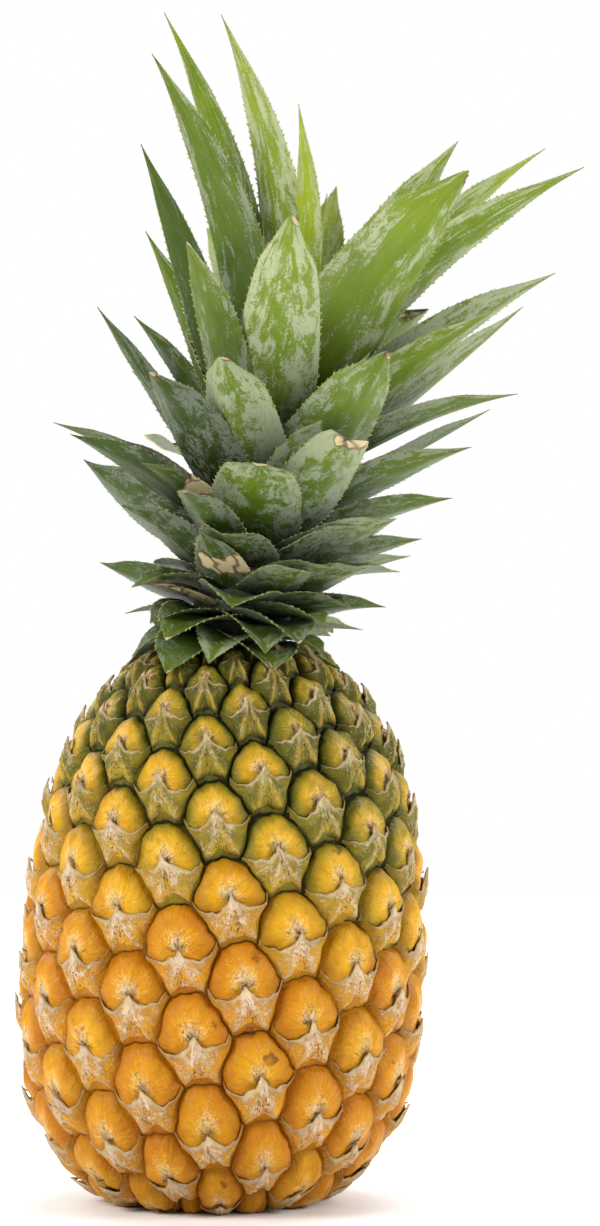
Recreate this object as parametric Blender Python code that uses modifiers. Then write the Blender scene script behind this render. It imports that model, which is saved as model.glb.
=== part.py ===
"""A fresh pineapple that stands on its base: the fruit with its spiral of eyes, the crown, and the cut stalk.

Metres, +Z up. The origin is on the surface that the fruit stands on, in the middle of the stalk's cut end,
and -Y is the side that the crown's broad front leaves face.
"""

import math
import random

import bmesh
import bpy
import numpy as np
from mathutils import Vector

MM = 0.001
FULL_TURN = 2 * math.pi

# Fruit outline: two half superellipses that meet at the widest height
FRUIT_RADIUS = 60.2 * MM
WIDEST_HEIGHT = 66.0 * MM
UPPER_REACH = 106.0 * MM
LOWER_REACH = 69.0 * MM
UPPER_POWER = 2.4
LOWER_POWER = 2.6
OUTLINE_POWER = 2.5
SEAT_HEIGHT = 169.5 * MM
END_TUBE = 90.0 * MM
FRUIT_LEAN = math.radians(2.0)

# Spiral of eyes: 8 rows one way and 13 the other
DIVERGENCE = math.radians(137.38)
FIRST_TURN = math.radians(7.6)
STEP_UP = 1.25 * MM
STEP_GROWTH = 1.4e-3
REFERENCE_ARC = 10.5 * MM
SIDE_RUN = 7.5 * MM
SIDE_RUN_TURN = math.radians(54.0)
TOP_EYE = -120
BASE_EYE = 88
RIGHT_STEP = 8
LEFT_STEP = 13

# How far the middle of an eye's upper side edges swells over its neighbours, round the fruit and up it
EDGE_SWELL_TURN = 0.03
EDGE_SWELL_UP = 1.0 * MM

# Relief of one eye
GROOVE_DEPTH = 2.8 * MM
RIM_SHARE = 0.84
RIM_RISE = 0.2 * MM
CHEEK_SHARE = 0.52
CHEEK_RISE = 1.7 * MM
CREASE_RISE = 0.7 * MM
LIP_SHARE = 0.42
LIP_RISE = 2.4 * MM
BRACT_RISE = 1.4 * MM
SPIKE_RISE = 4.5 * MM
SPIKE_UP = 3.2 * MM
TOP_SPIKE_GAIN = 0.5

# Cut stalk, in a hollow under the fruit
STALK_RADIUS = 11.0 * MM
STALK_LENGTH = 7.0 * MM
HOLLOW_GAP = 0.4 * MM
HOLLOW_FLARE = 4.5 * MM
FIT_GAP = 0.3 * MM

# Crown stem
STEM_LEAN = math.radians(10.0)
STEM_LENGTH = 82.0 * MM
STEM_FOOT_RADIUS = 17.0 * MM
STEM_TOP_RADIUS = 8.0 * MM
STEM_CORNERS = 14
ROOT_SHARE = 0.55

# Crown leaves
BLADE_THICKNESS = 1.1 * MM
SHORT_BLADE = 75.0 * MM
SHORT_SEGMENTS = 4
LONG_SEGMENTS = 5
CLASP_GAP = 6.0 * MM
OPEN_RADIUS = 26.0 * MM
BEND_SHARE = 0.46
ROOT_FULLNESS = 0.2
BACKWARD = Vector((0.0, 1.0, 0.0))
TIP_WIDTH = 1.6 * MM

# Leaves of the near side, one row each: height of the root up the stem, then where the tip lies from the
# crown's foot (right, back, up), the width, the angle at which the leaf leaves the stem, how blunt it is
# (small is blunt), how far its outer face is rolled to the front, and the share of its point that is cut off.
# Millimetres and degrees.
FRONT_LEAVES = (
    (5, -7, -37, -3, 18, 15, 0.7, 0, 0.0),
    (6, 28, -26, 0, 18, 15, 0.7, 0, 0.0),
    (5, -31, -14, -1, 16, 20, 0.8, 0, 0.0),
    (8, 10, -38, 0, 22, 20, 0.7, 0, 0.0),
    (9, -25, -25, 9, 22, 20, 0.6, 0, 0.0),
    (8, -34, 4, 12, 15, 20, 0.8, 0, 0.0),
    (9, 40, -6, 7, 15, 15, 0.8, 0, 0.0),
    (11, 28, -28, 9, 22, 25, 0.6, 0, 0.0),
    (12, 47, -4, 14, 17, 26, 0.8, 25, 0.0),
    (12, -9, -30, 34, 20, 55, 0.7, 0, 0.0),
    (14, -24, -14, 21, 13, 35, 0.8, 0, 0.0),
    (16, 21, -34, 25, 19, 30, 0.5, 0, 0.0),
    (16, -42, 8, 28, 20, -6, 0.8, 30, 0.0),
    (18, 41, -22, 26, 18, 25, 0.7, 20, 0.0),
    (20, 55, 8, 30, 17, 26, 0.8, 25, 0.0),
    (20, -34, -22, 45, 19, 40, 0.6, 30, 0.0),
    (24, -15, -36, 49, 23, 45, 0.45, 0, 0.0),
    (24, 58, -10, 35, 17, 30, 0.8, 30, 0.0),
    (28, 50, -20, 41, 21, 25, 0.7, 20, 0.0),
    (30, 8, -42, 57, 31, 50, 0.45, 0, 0.0),
    (30, 68, 8, 48, 20, 40, 0.8, 30, 0.0),
    (30, -47, 8, 60, 25, 12, 0.8, 45, 0.0),
    (34, 35, -36, 63, 25, 38, 0.45, 20, 0.15),
    (34, -28, -22, 58, 17, 45, 0.7, 20, 0.0),
    (34, -50, -14, 67, 20, 35, 0.8, 30, 0.0),
    (38, -57, 16, 72, 18, 30, 0.8, 20, 0.0),
    (38, 73, -16, 63, 19, 43, 0.8, 30, 0.0),
    (38, -25, -33, 85, 25, 55, 0.5, 25, 0.0),
    (44, 80, 14, 76, 19, 32, 0.8, 20, 0.0),
    (44, -3, -42, 89, 29, 55, 0.45, 0, 0.0),
    (46, 47, -36, 91, 29, 42, 0.5, 30, 0.0),
    (47, 88, -2, 80, 21, 54, 0.8, 20, 0.0),
    (46, -43, 14, 108, 10, 42, 0.8, 60, 0.0),
    (50, -32, 24, 106, 12, 58, 0.8, 60, 0.0),
    (52, 80, -14, 105, 19, 60, 0.8, 45, 0.0),
    (52, -14, -26, 125, 21, 68, 0.6, 20, 0.0),
    (54, 91, 24, 109, 24, 38, 0.8, 30, 0.0),
    (56, 100, 6, 118, 21, 60, 0.8, 45, 0.0),
    (56, -28, 16, 132, 13, 62, 0.8, 60, 0.0),
    (58, 18, -36, 132, 28, 62, 0.45, 0, 0.0),
    (58, -29, 4, 158, 14, 66, 0.8, 70, 0.0),
    (60, 72, -22, 147, 32, 84, 0.55, 70, 0.0),
    (64, 109, 6, 151, 18, 79, 0.8, 60, 0.0),
    (64, -25, -12, 184, 18, 88, 0.8, 75, 0.0),
    (66, 98, 26, 159, 17, 76, 0.8, 50, 0.0),
    (68, 70, 14, 160, 21, 80, 0.7, 70, 0.0),
    (68, -22, 12, 200, 13, 86, 0.8, 75, 0.0),
    (70, -4, 2, 198, 16, 98, 0.8, 80, 0.0),
    (70, 30, 8, 145, 13, 80, 0.8, 60, 0.0),
    (72, 22, -6, 171, 23, 70, 0.8, 60, 0.0),
    (72, 9, 12, 172, 13, 85, 0.8, 0, 0.1),
)

# Leaves on the far side follow one spiral, and their reach and rise follow the height of the root
BACK_LEAVES = 52
BACK_FIRST_ROOT = 6.0
BACK_LAST_ROOT = 72.0
BACK_HALF_SECTOR = math.radians(72.0)
BACK_LEFT_FROM = math.radians(-40.0)
BACK_LEFT_SHARE = 0.72
BACK_SEED = 5
ROOT_HEIGHTS = (0.0, 10.0, 20.0, 35.0, 50.0, 60.0, 75.0)
TIP_REACHES = (33.0, 38.0, 50.0, 60.0, 72.0, 66.0, 34.0)
TIP_RISES = (2.0, 9.0, 30.0, 56.0, 92.0, 126.0, 150.0)
LEAF_WIDTHS = (17.0, 21.0, 25.0, 29.0, 31.0, 30.0, 24.0)
START_ANGLES = (0.0, 18.0, 28.0, 38.0, 48.0, 60.0, 80.0)

SKIN_COLOUR = (0.62, 0.30, 0.03, 1.0)
LEAF_COLOUR = (0.10, 0.20, 0.05, 1.0)
STALK_COLOUR = (0.42, 0.33, 0.18, 1.0)


def clear_scene():
    for old in list(bpy.data.objects):
        bpy.data.objects.remove(old, do_unlink=True)


def new_collection(name):
    collection = bpy.data.collections.new(name)
    bpy.context.scene.collection.children.link(collection)
    return collection


def new_material(name, colour, roughness):
    material = bpy.data.materials.new(name)
    material.use_nodes = True
    shader = material.node_tree.nodes["Principled BSDF"]
    shader.inputs["Base Color"].default_value = colour
    shader.inputs["Roughness"].default_value = roughness
    shader.inputs["Metallic"].default_value = 0.0
    return material


def object_from(mesh_maker, name, collection, material):
    """Puts what a bmesh holds into a named object and frees the bmesh."""
    mesh = bpy.data.meshes.new(name)
    mesh_maker.to_mesh(mesh)
    mesh_maker.free()
    made = bpy.data.objects.new(name, mesh)
    collection.objects.link(made)
    made.data.materials.append(material)
    return made


def as_helper(helper):
    helper.hide_render = True
    helper.display_type = "WIRE"
    return helper


def boolean(target, operation, cutter=None, group=None):
    """Adds one Boolean modifier with a single cutter or a whole collection."""
    modifier = target.modifiers.new(operation.title(), "BOOLEAN")
    modifier.operation = operation
    if group is None:
        modifier.object = cutter
    else:
        modifier.operand_type = "COLLECTION"
        modifier.collection = group
    return modifier


def apply_modifiers(target):
    graph = bpy.context.evaluated_depsgraph_get()
    mesh = bpy.data.meshes.new_from_object(target.evaluated_get(graph))
    target.modifiers.clear()
    target.data = mesh


def keep_outer_shell(target):
    """Keeps the largest connected surface, so that hollows sealed by a union are filled and scraps go."""
    mesh_maker = bmesh.new()
    mesh_maker.from_mesh(target.data)
    bmesh.ops.triangulate(mesh_maker, faces=mesh_maker.faces[:])
    unseen = set(mesh_maker.faces)
    shells = []
    while unseen:
        shell = []
        front = [unseen.pop()]
        while front:
            face = front.pop()
            shell.append(face)
            for edge in face.edges:
                fresh = [other for other in edge.link_faces if other in unseen]
                unseen.difference_update(fresh)
                front.extend(fresh)
        shells.append(shell)
    shells.sort(key=len, reverse=True)
    inner = [face for shell in shells[1:] for face in shell]
    bmesh.ops.delete(mesh_maker, geom=inner, context="FACES")
    mesh_maker.to_mesh(target.data)
    mesh_maker.free()


# Fruit


def outline_radius(height):
    """Radius of the smooth fruit under its eyes: one superellipse above the widest height, one below it."""
    above = height > WIDEST_HEIGHT
    reach = np.where(above, UPPER_REACH, LOWER_REACH)
    power = np.where(above, UPPER_POWER, LOWER_POWER)
    share = np.minimum(np.abs(height - WIDEST_HEIGHT) / reach, 1.0)
    return FRUIT_RADIUS * (1 - share**power) ** (1 / OUTLINE_POWER)


def arc_outline():
    """Arc lengths from the widest height, with the radius and height there, run on as a tube at both ends."""
    heights = np.linspace(0.0, SEAT_HEIGHT, 1600)
    radii = outline_radius(heights)
    heights = np.concatenate([[-END_TUBE], heights, [SEAT_HEIGHT + END_TUBE]])
    radii = np.concatenate([radii[:1], radii, radii[-1:]])
    steps = np.hypot(np.diff(heights), np.diff(radii))
    arcs = np.concatenate([[0.0], np.cumsum(steps)])
    return arcs - np.interp(WIDEST_HEIGHT, heights, arcs), radii, heights


ARCS, RADII, HEIGHTS = arc_outline()


def fruit_point(turn, arc, rise):
    """A point at this turn round the fruit and this arc length up it, raised from the smooth outline."""
    reach = 1.5 * MM
    radius = np.interp(arc, ARCS, RADII)
    height = np.interp(arc, ARCS, HEIGHTS)
    inwards = np.interp(arc - reach, ARCS, RADII) - np.interp(arc + reach, ARCS, RADII)
    upwards = np.interp(arc + reach, ARCS, HEIGHTS) - np.interp(arc - reach, ARCS, HEIGHTS)
    length = math.hypot(inwards, upwards)
    radius += rise * upwards / length
    height += rise * inwards / length
    return Vector((radius * math.sin(turn) + height * math.tan(FRUIT_LEAN), -radius * math.cos(turn), height))


def eye_turn(index):
    return FIRST_TURN + index * DIVERGENCE


def eye_arc(index):
    """Arc length of an eye's centre. Eyes grow towards the base, and one side of the fruit runs ahead."""
    steps = STEP_UP * index * (1 + STEP_GROWTH * index)
    return REFERENCE_ARC - steps - SIDE_RUN * math.sin(eye_turn(index) + SIDE_RUN_TURN)


def wrapped(angle):
    return (angle + math.pi) % FULL_TURN - math.pi


RIGHT_TURN = wrapped(RIGHT_STEP * DIVERGENCE)
LEFT_TURN = wrapped(LEFT_STEP * DIVERGENCE)


def neighbour(index, rights, lefts):
    """Turn and arc of the eye that is so many steps down to the right and down to the left."""
    turn = eye_turn(index) + rights * RIGHT_TURN + lefts * LEFT_TURN
    return np.array((turn, eye_arc(index + rights * RIGHT_STEP + lefts * LEFT_STEP)))


def eye_corners(index):
    """The six corners of an eye, each the middle of three eyes: right, the upper two, left, the lower two."""
    pairs = (
        ((0, -1), (1, 0)),
        ((-1, -1), (0, -1)),
        ((-1, -1), (-1, 0)),
        ((-1, 0), (0, 1)),
        ((0, 1), (1, 1)),
        ((1, 0), (1, 1)),
    )
    own = neighbour(index, 0, 0)
    return [(own + neighbour(index, *one) + neighbour(index, *other)) / 3 for one, other in pairs]


def eye_ring(index, places, shares, rises):
    """Points on a ring round an eye. A place counts corners round its edge, and a share is how far out it is.

    The side edges are arcs that swell upwards, so the cheek is round and the bracts beside it are hollow.
    """
    own = neighbour(index, 0, 0)
    corners = eye_corners(index)
    swells = np.array(((EDGE_SWELL_TURN, EDGE_SWELL_UP), (0.0, 0.0), (-EDGE_SWELL_TURN, EDGE_SWELL_UP)))
    ring = []
    for place, share, rise in zip(places, shares, rises):
        first = int(place) % 6
        part = place - int(place)
        edge = corners[first] * (1 - part) + corners[(first + 1) % 6] * part
        edge = edge + swells[first % 3] * 4 * part * (1 - part)
        turn, arc = own + (edge - own) * share
        ring.append((place, fruit_point(turn, arc, rise)))
    return ring


def bridge(mesh_maker, outer, inner):
    """Triangles between two rings whose points are sorted by their place round the eye, from 0 to 6."""
    outer_at = 0
    inner_at = 0
    while outer_at < len(outer) or inner_at < len(inner):
        outer_next = outer[outer_at + 1][0] if outer_at + 1 < len(outer) else 6 + outer[0][0]
        inner_next = inner[inner_at + 1][0] if inner_at + 1 < len(inner) else 6 + inner[0][0]
        outer_vert = outer[outer_at % len(outer)][1]
        inner_vert = inner[inner_at % len(inner)][1]
        take_outer = inner_at >= len(inner) or (outer_at < len(outer) and outer_next <= inner_next)
        if take_outer:
            outer_at += 1
            mesh_maker.faces.new((outer_vert, outer[outer_at % len(outer)][1], inner_vert))
        else:
            inner_at += 1
            mesh_maker.faces.new((outer_vert, inner[inner_at % len(inner)][1], inner_vert))


def add_eye(mesh_maker, index):
    """One eye: a groove round it, a domed cheek, a crease, and the bract, whose lip rises to a spike."""
    near_top = max(0.0, min(1.0, -index / 90.0))
    spike = SPIKE_RISE * (1 + TOP_SPIKE_GAIN * near_top)
    lip = LIP_RISE * (1 + TOP_SPIKE_GAIN * near_top)
    edge_places = (0.0, 0.5, 1.0, 2.0, 2.5, 3.0, 3.5, 4.0, 5.0, 5.5)
    rim_places = (0.0, 0.6, 1.25, 1.75, 2.4, 3.0, 3.3, 4.1, 4.9, 5.7)
    inner_places = (0.0, 1.0, 2.0, 3.0, 3.4, 4.5, 5.6)
    rim_rises = [RIM_RISE] * len(rim_places)
    rim_rises[rim_places.index(3.3)] = lip * 0.6
    rim_rises[rim_places.index(5.7)] = lip * 0.6
    inner_shares = (LIP_SHARE, CHEEK_SHARE, CHEEK_SHARE, LIP_SHARE, LIP_SHARE, LIP_SHARE, LIP_SHARE)
    inner_rises = (CREASE_RISE, CHEEK_RISE, CHEEK_RISE, CREASE_RISE, lip, BRACT_RISE, lip)
    rings = []
    for places, shares, rises in (
        (edge_places, [1.0] * len(edge_places), [-GROOVE_DEPTH] * len(edge_places)),
        (rim_places, [RIM_SHARE] * len(rim_places), rim_rises),
        (inner_places, inner_shares, inner_rises),
    ):
        ring = eye_ring(index, places, shares, rises)
        rings.append([(place, mesh_maker.verts.new(point)) for place, point in ring])
    bridge(mesh_maker, rings[0], rings[1])
    bridge(mesh_maker, rings[1], rings[2])
    turn, arc = neighbour(index, 0, 0)
    tip = mesh_maker.verts.new(fruit_point(turn, arc + SPIKE_UP, spike))
    inner = [vert for _, vert in rings[2]]
    for first, second in zip(inner, inner[1:] + inner[:1]):
        mesh_maker.faces.new((first, second, tip))


def cut_flat(mesh_maker, height, keep_above):
    """Cuts the mesh by a level plane, drops one side and closes it with a flat face."""
    normal = Vector((0, 0, -1 if keep_above else 1))
    everything = mesh_maker.verts[:] + mesh_maker.edges[:] + mesh_maker.faces[:]
    cut = bmesh.ops.bisect_plane(
        mesh_maker, geom=everything, dist=1e-6, plane_co=(0, 0, height), plane_no=normal, clear_outer=True
    )
    rim = [item for item in cut["geom_cut"] if isinstance(item, bmesh.types.BMEdge)]
    bmesh.ops.contextual_create(mesh_maker, geom=rim)


def make_fruit(collection, cutters, material):
    """The fruit: a mesh of eyes that share their grooves, cut level at its base and at the crown's seat."""
    mesh_maker = bmesh.new()
    for index in range(TOP_EYE, BASE_EYE + 1):
        add_eye(mesh_maker, index)
    bmesh.ops.remove_doubles(mesh_maker, verts=mesh_maker.verts[:], dist=1e-6)
    cut_flat(mesh_maker, 0.0, keep_above=True)
    cut_flat(mesh_maker, SEAT_HEIGHT, keep_above=False)
    bmesh.ops.recalc_face_normals(mesh_maker, faces=mesh_maker.faces[:])
    fruit = object_from(mesh_maker, "fruit", collection, material)

    hollow_radius = STALK_RADIUS + HOLLOW_GAP
    hollow_maker = bmesh.new()
    bmesh.ops.create_cone(
        hollow_maker,
        cap_ends=True,
        segments=28,
        radius1=hollow_radius + 2 * HOLLOW_FLARE,
        radius2=hollow_radius,
        depth=2 * STALK_LENGTH,
    )
    hollow = as_helper(object_from(hollow_maker, "stalk_hollow", cutters, material))
    boolean(fruit, "DIFFERENCE", cutter=hollow)
    return fruit


def make_stalk(collection, material):
    """The short stalk left where the fruit was cut, a turned plug with a rounded edge and a flat cut face."""
    radius = STALK_RADIUS
    length = STALK_LENGTH - FIT_GAP
    chamfer = 1.2 * MM
    profile = (
        (0.0, length),
        (radius * 0.86, length),
        (radius * 0.94, chamfer),
        (radius * 0.94 - chamfer, 0.0),
        (0.0, 0.0),
    )
    mesh_maker = bmesh.new()
    verts = [mesh_maker.verts.new((across, 0, height)) for across, height in profile]
    for first, second in zip(verts, verts[1:]):
        mesh_maker.edges.new((first, second))
    stalk = object_from(mesh_maker, "stalk", collection, material)
    screw = stalk.modifiers.new("Screw", "SCREW")
    screw.steps = 28
    screw.render_steps = 28
    screw.use_merge_vertices = True
    screw.merge_threshold = 0.00005
    return stalk


# Crown


def crown_foot():
    """Where the crown's stem stands: the middle of the seat on top of the leaning fruit."""
    return Vector((SEAT_HEIGHT * math.tan(FRUIT_LEAN), 0.0, SEAT_HEIGHT + FIT_GAP))


def stem_direction():
    return Vector((math.sin(STEM_LEAN), 0.0, math.cos(STEM_LEAN)))


def stem_radius(height):
    share = max(0.0, min(1.0, height / STEM_LENGTH))
    return STEM_FOOT_RADIUS + (STEM_TOP_RADIUS - STEM_FOOT_RADIUS) * share


def blade_share(along, blunt):
    """Width of a leaf as a share of its widest: narrower where it is sunk in the stem, full, then a point."""
    return math.sin(math.pi * (ROOT_FULLNESS + (1 - ROOT_FULLNESS) * along**0.9)) ** blunt


def leaf_grid(row, across_count, along_count):
    """Points of a blade, in rows along a curve that leaves the stem at start_angle and ends at the tip."""
    root_height, tip, width, start_angle, blunt, roll, cut_share = row
    foot = crown_foot()
    up = stem_direction()
    root = foot + up * root_height
    outward = tip - root
    outward -= up * outward.dot(up)
    outward.normalize()
    root += outward * stem_radius(root_height) * ROOT_SHARE
    reach = (tip - root).length
    bend = root + (outward * math.cos(start_angle) + up * math.sin(start_angle)) * reach * BEND_SHARE
    rows = []
    for step in range(along_count + 1):
        along = step / along_count
        middle = root.lerp(bend, along).lerp(bend.lerp(tip, along), along)
        heading = ((bend - root) * (1 - along) + (tip - bend) * along).normalized()
        inner = up - heading * up.dot(heading) - outward * 0.25
        inner -= heading * inner.dot(heading)
        inner.normalize()
        backward = BACKWARD - heading * heading.y
        inner = (inner * math.cos(roll) + backward * math.sin(roll)).normalized()
        side = heading.cross(inner).normalized()
        half = max(TIP_WIDTH, width * blade_share(along * (1 - cut_share), blunt)) / 2
        clasp = stem_radius(root_height) + CLASP_GAP
        curl = clasp + (OPEN_RADIUS - clasp) * min(1.0, along * 1.6)
        places = []
        for place in np.linspace(-1, 1, across_count + 1):
            swing = place * half / curl
            places.append(middle + side * curl * math.sin(swing) + inner * curl * (1 - math.cos(swing)))
        rows.append(places)
    return rows


def add_leaf(collection, number, material, row):
    """One leaf: a grid laid along its curve and given its thickness."""
    across_count = 2
    reach = (row[1] - crown_foot() - stem_direction() * row[0]).length
    along_count = SHORT_SEGMENTS if reach < SHORT_BLADE else LONG_SEGMENTS
    rows = leaf_grid(row, across_count, along_count)
    mesh_maker = bmesh.new()
    grid = bmesh.ops.create_grid(mesh_maker, x_segments=across_count, y_segments=along_count, size=1.0)
    for vert in grid["verts"]:
        column = round((vert.co.x + 1) / 2 * across_count)
        step = round((vert.co.y + 1) / 2 * along_count)
        vert.co = rows[step][column]
    bmesh.ops.triangulate(mesh_maker, faces=mesh_maker.faces[:])
    leaf = object_from(mesh_maker, f"leaf_{number:02d}", collection, material)
    solidify = leaf.modifiers.new("Solidify", "SOLIDIFY")
    solidify.thickness = BLADE_THICKNESS
    solidify.offset = 0.0
    apply_modifiers(leaf)
    return leaf


def front_leaf_rows():
    """The near side's leaves: root height, tip point, width, start angle, bluntness, roll and cut share."""
    foot = crown_foot()
    for root, right, back, up, width, angle, blunt, roll, cut_share in FRONT_LEAVES:
        tip = foot + Vector((right, back, up)) * MM
        yield root * MM, tip, width * MM, math.radians(angle), blunt, math.radians(roll), cut_share


def back_leaf_rows():
    """The leaves of the far side, by one spiral with the fruit's own divergence."""
    draw = random.Random(BACK_SEED)
    foot = crown_foot()
    for number in range(BACK_LEAVES):
        root = BACK_FIRST_ROOT + (BACK_LAST_ROOT - BACK_FIRST_ROOT) * number / (BACK_LEAVES - 1)
        turn = wrapped(number * DIVERGENCE)
        reach = np.interp(root, ROOT_HEIGHTS, TIP_REACHES) * draw.uniform(0.88, 1.08)
        rise = np.interp(root, ROOT_HEIGHTS, TIP_RISES) + draw.uniform(-6.0, 6.0)
        width = np.interp(root, ROOT_HEIGHTS, LEAF_WIDTHS) * draw.uniform(0.85, 1.05)
        angle = np.interp(root, ROOT_HEIGHTS, START_ANGLES)
        cut_share = draw.choice((0.0, 0.0, 0.0, 0.2))
        blunt = draw.uniform(0.5, 0.85)
        if abs(turn) > BACK_HALF_SECTOR:
            continue
        if turn < BACK_LEFT_FROM:
            reach *= BACK_LEFT_SHARE
        centre = stem_direction() * root
        right = centre.x + reach * math.sin(turn)
        tip = foot + Vector((right, reach * math.cos(turn), rise)) * MM
        yield root * MM, tip, width * MM, math.radians(angle), blunt, 0.0, cut_share


def make_crown(collection, material):
    """The crown: a tapering stem and all of its leaves, joined in one solid."""
    blades = new_collection("leaf_blades")
    rows = list(front_leaf_rows()) + list(back_leaf_rows())
    for number, row in enumerate(rows, start=1):
        add_leaf(blades, number, material, row)
    foot = crown_foot()
    up = stem_direction()
    mesh_maker = bmesh.new()
    bmesh.ops.create_cone(
        mesh_maker,
        cap_ends=True,
        segments=STEM_CORNERS,
        radius1=STEM_FOOT_RADIUS,
        radius2=STEM_TOP_RADIUS,
        depth=STEM_LENGTH,
    )
    for vert in mesh_maker.verts:
        height = vert.co.z + STEM_LENGTH / 2
        vert.co = foot + Vector((vert.co.x, vert.co.y, 0)) + up * height
    crown = object_from(mesh_maker, "crown", collection, material)
    union = boolean(crown, "UNION", group=blades)
    union.solver = "MANIFOLD"
    apply_modifiers(crown)
    keep_outer_shell(crown)
    for leaf in list(blades.objects):
        bpy.data.objects.remove(leaf, do_unlink=True)
    bpy.data.collections.remove(blades)
    return crown


def main():
    clear_scene()
    parts = new_collection("pineapple")
    cutters = new_collection("cutters")
    skin = new_material("skin", SKIN_COLOUR, 0.5)
    leaf = new_material("leaf", LEAF_COLOUR, 0.55)
    cut_stalk = new_material("cut_stalk", STALK_COLOUR, 0.8)
    make_fruit(parts, cutters, skin)
    make_stalk(parts, cut_stalk)
    make_crown(parts, leaf)


main()
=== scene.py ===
"""A fresh pineapple standing on its base: its skin of ripening eyes, their papery bracts and dried flowers, and its
waxy, toothed crown of leaves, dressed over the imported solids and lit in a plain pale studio."""

import logging
import math
import random
from dataclasses import dataclass, field
from enum import Enum
from typing import Callable, Iterator, Sequence, Union

import bpy
import numpy as np
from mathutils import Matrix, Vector


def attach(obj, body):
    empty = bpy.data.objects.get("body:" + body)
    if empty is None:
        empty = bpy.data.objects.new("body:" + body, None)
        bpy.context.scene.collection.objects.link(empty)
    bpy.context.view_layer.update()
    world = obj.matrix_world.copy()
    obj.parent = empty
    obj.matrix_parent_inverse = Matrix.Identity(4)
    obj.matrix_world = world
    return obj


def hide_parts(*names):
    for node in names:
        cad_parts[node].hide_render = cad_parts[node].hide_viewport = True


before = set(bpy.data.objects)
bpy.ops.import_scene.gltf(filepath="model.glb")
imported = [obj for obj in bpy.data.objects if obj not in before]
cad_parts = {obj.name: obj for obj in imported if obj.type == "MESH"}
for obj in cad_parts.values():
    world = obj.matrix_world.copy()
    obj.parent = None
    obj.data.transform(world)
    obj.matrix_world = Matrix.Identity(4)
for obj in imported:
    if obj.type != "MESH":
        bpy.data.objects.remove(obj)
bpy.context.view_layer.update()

LOG = logging.getLogger("pineapple")
MM = 0.001
TURN = 2 * math.pi
DIVERGENCE = math.radians(137.38)
TINY = 1e-9
Colour = tuple[float, float, float, float]
Place = tuple[float, float, float]
Marks = dict[str, Union[np.ndarray, float]]


def paint(red: int, green: int, blue: int) -> Colour:
    """A display colour, 0 to 255, as the linear colour a shader takes: c/12.92 or ((c+0.055)/1.055)^2.4.

    Args:
        red: Red part as displayed.
        green: Green part as displayed.
        blue: Blue part as displayed.

    Returns:
        The linear colour with full opacity.
    """
    shares = [part / 255 for part in (red, green, blue)]
    linear = [c / 12.92 if c <= 0.04045 else ((c + 0.055) / 1.055) ** 2.4 for c in shares]
    return (linear[0], linear[1], linear[2], 1.0)


def ease(low: float, high: float, value: np.ndarray) -> np.ndarray:
    """Smooth step 3t^2 - 2t^3 of the value from 0 at low to 1 at high, where low may be the greater."""
    share = np.clip((value - low) / (high - low), 0.0, 1.0)
    return share * share * (3 - 2 * share)


def bump(value: np.ndarray, width: float) -> np.ndarray:
    """A bell exp(-(v/w)^2), 1 where the value is 0."""
    return np.exp(-((value / width) ** 2))


def unit(vectors: np.ndarray) -> np.ndarray:
    """Rows of vectors brought to length 1."""
    return vectors / np.maximum(np.linalg.norm(vectors, axis=1, keepdims=True), TINY)


def square_to(vectors: np.ndarray, axes: np.ndarray) -> np.ndarray:
    """What is left of vectors at right angles to rows of unit axes."""
    return vectors - axes * np.sum(vectors * axes, axis=1, keepdims=True)


class Tier(Enum):
    """The three storeys of the crown, by how high up the stem a leaf is rooted, in millimetres."""

    SKIRT = (-1.0, 30.0)
    MIDDLE = (30.0, 55.0)
    HEART = (55.0, 200.0)

    def holds(self, root: float) -> bool:
        """True where a leaf rooted at this height belongs to the storey."""
        return self.value[0] <= root < self.value[1]


# Shader building


def arithmetic(operation: str, flipped: bool = False) -> Callable[..., "Level"]:
    """Makes a method of Level that adds one Math node.

    Args:
        operation: The Math node's operation.
        flipped: True for a reflected form, where a plain number comes first.

    Returns:
        The method.
    """

    def method(level: "Level", *others: "Amount") -> "Level":
        """Adds the node and gives its result."""
        values = (*others, level) if flipped else (level, *others)
        return level.recipe.math(operation, *values)

    return method


class Level:
    """A number that varies over a surface. It wraps an output socket, and arithmetic on it adds Math nodes."""

    __add__ = __radd__ = arithmetic("ADD")
    __mul__ = __rmul__ = arithmetic("MULTIPLY")
    __sub__ = arithmetic("SUBTRACT")
    __rsub__ = arithmetic("SUBTRACT", flipped=True)
    __truediv__ = arithmetic("DIVIDE")
    __pow__ = arithmetic("POWER")
    __abs__ = arithmetic("ABSOLUTE")

    def __init__(self, recipe: "Recipe", socket: bpy.types.NodeSocket) -> None:
        """Wraps the socket of a node in the recipe's tree."""
        self.recipe, self.socket = recipe, socket

    def clip(self) -> "Level":
        """The value kept between 0 and 1."""
        return self.recipe.math("ADD", self, 0.0, clamp=True)

    def step(self, low: float, high: float) -> "Level":
        """A smooth step from 0 at low to 1 at high.

        Args:
            low: The value that gives 0, which may be the greater.
            high: The value that gives 1.

        Returns:
            The step.
        """
        inputs = {"Value": self, "From Min": min(low, high), "From Max": max(low, high)}
        if low > high:
            inputs.update({"To Min": 1.0, "To Max": 0.0})
        node = self.recipe.add("ShaderNodeMapRange", {"interpolation_type": "SMOOTHSTEP"}, inputs)
        return Level(self.recipe, node.outputs["Result"])


Amount = Union[Level, float]
Tint = Union[bpy.types.NodeSocket, Colour]


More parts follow.
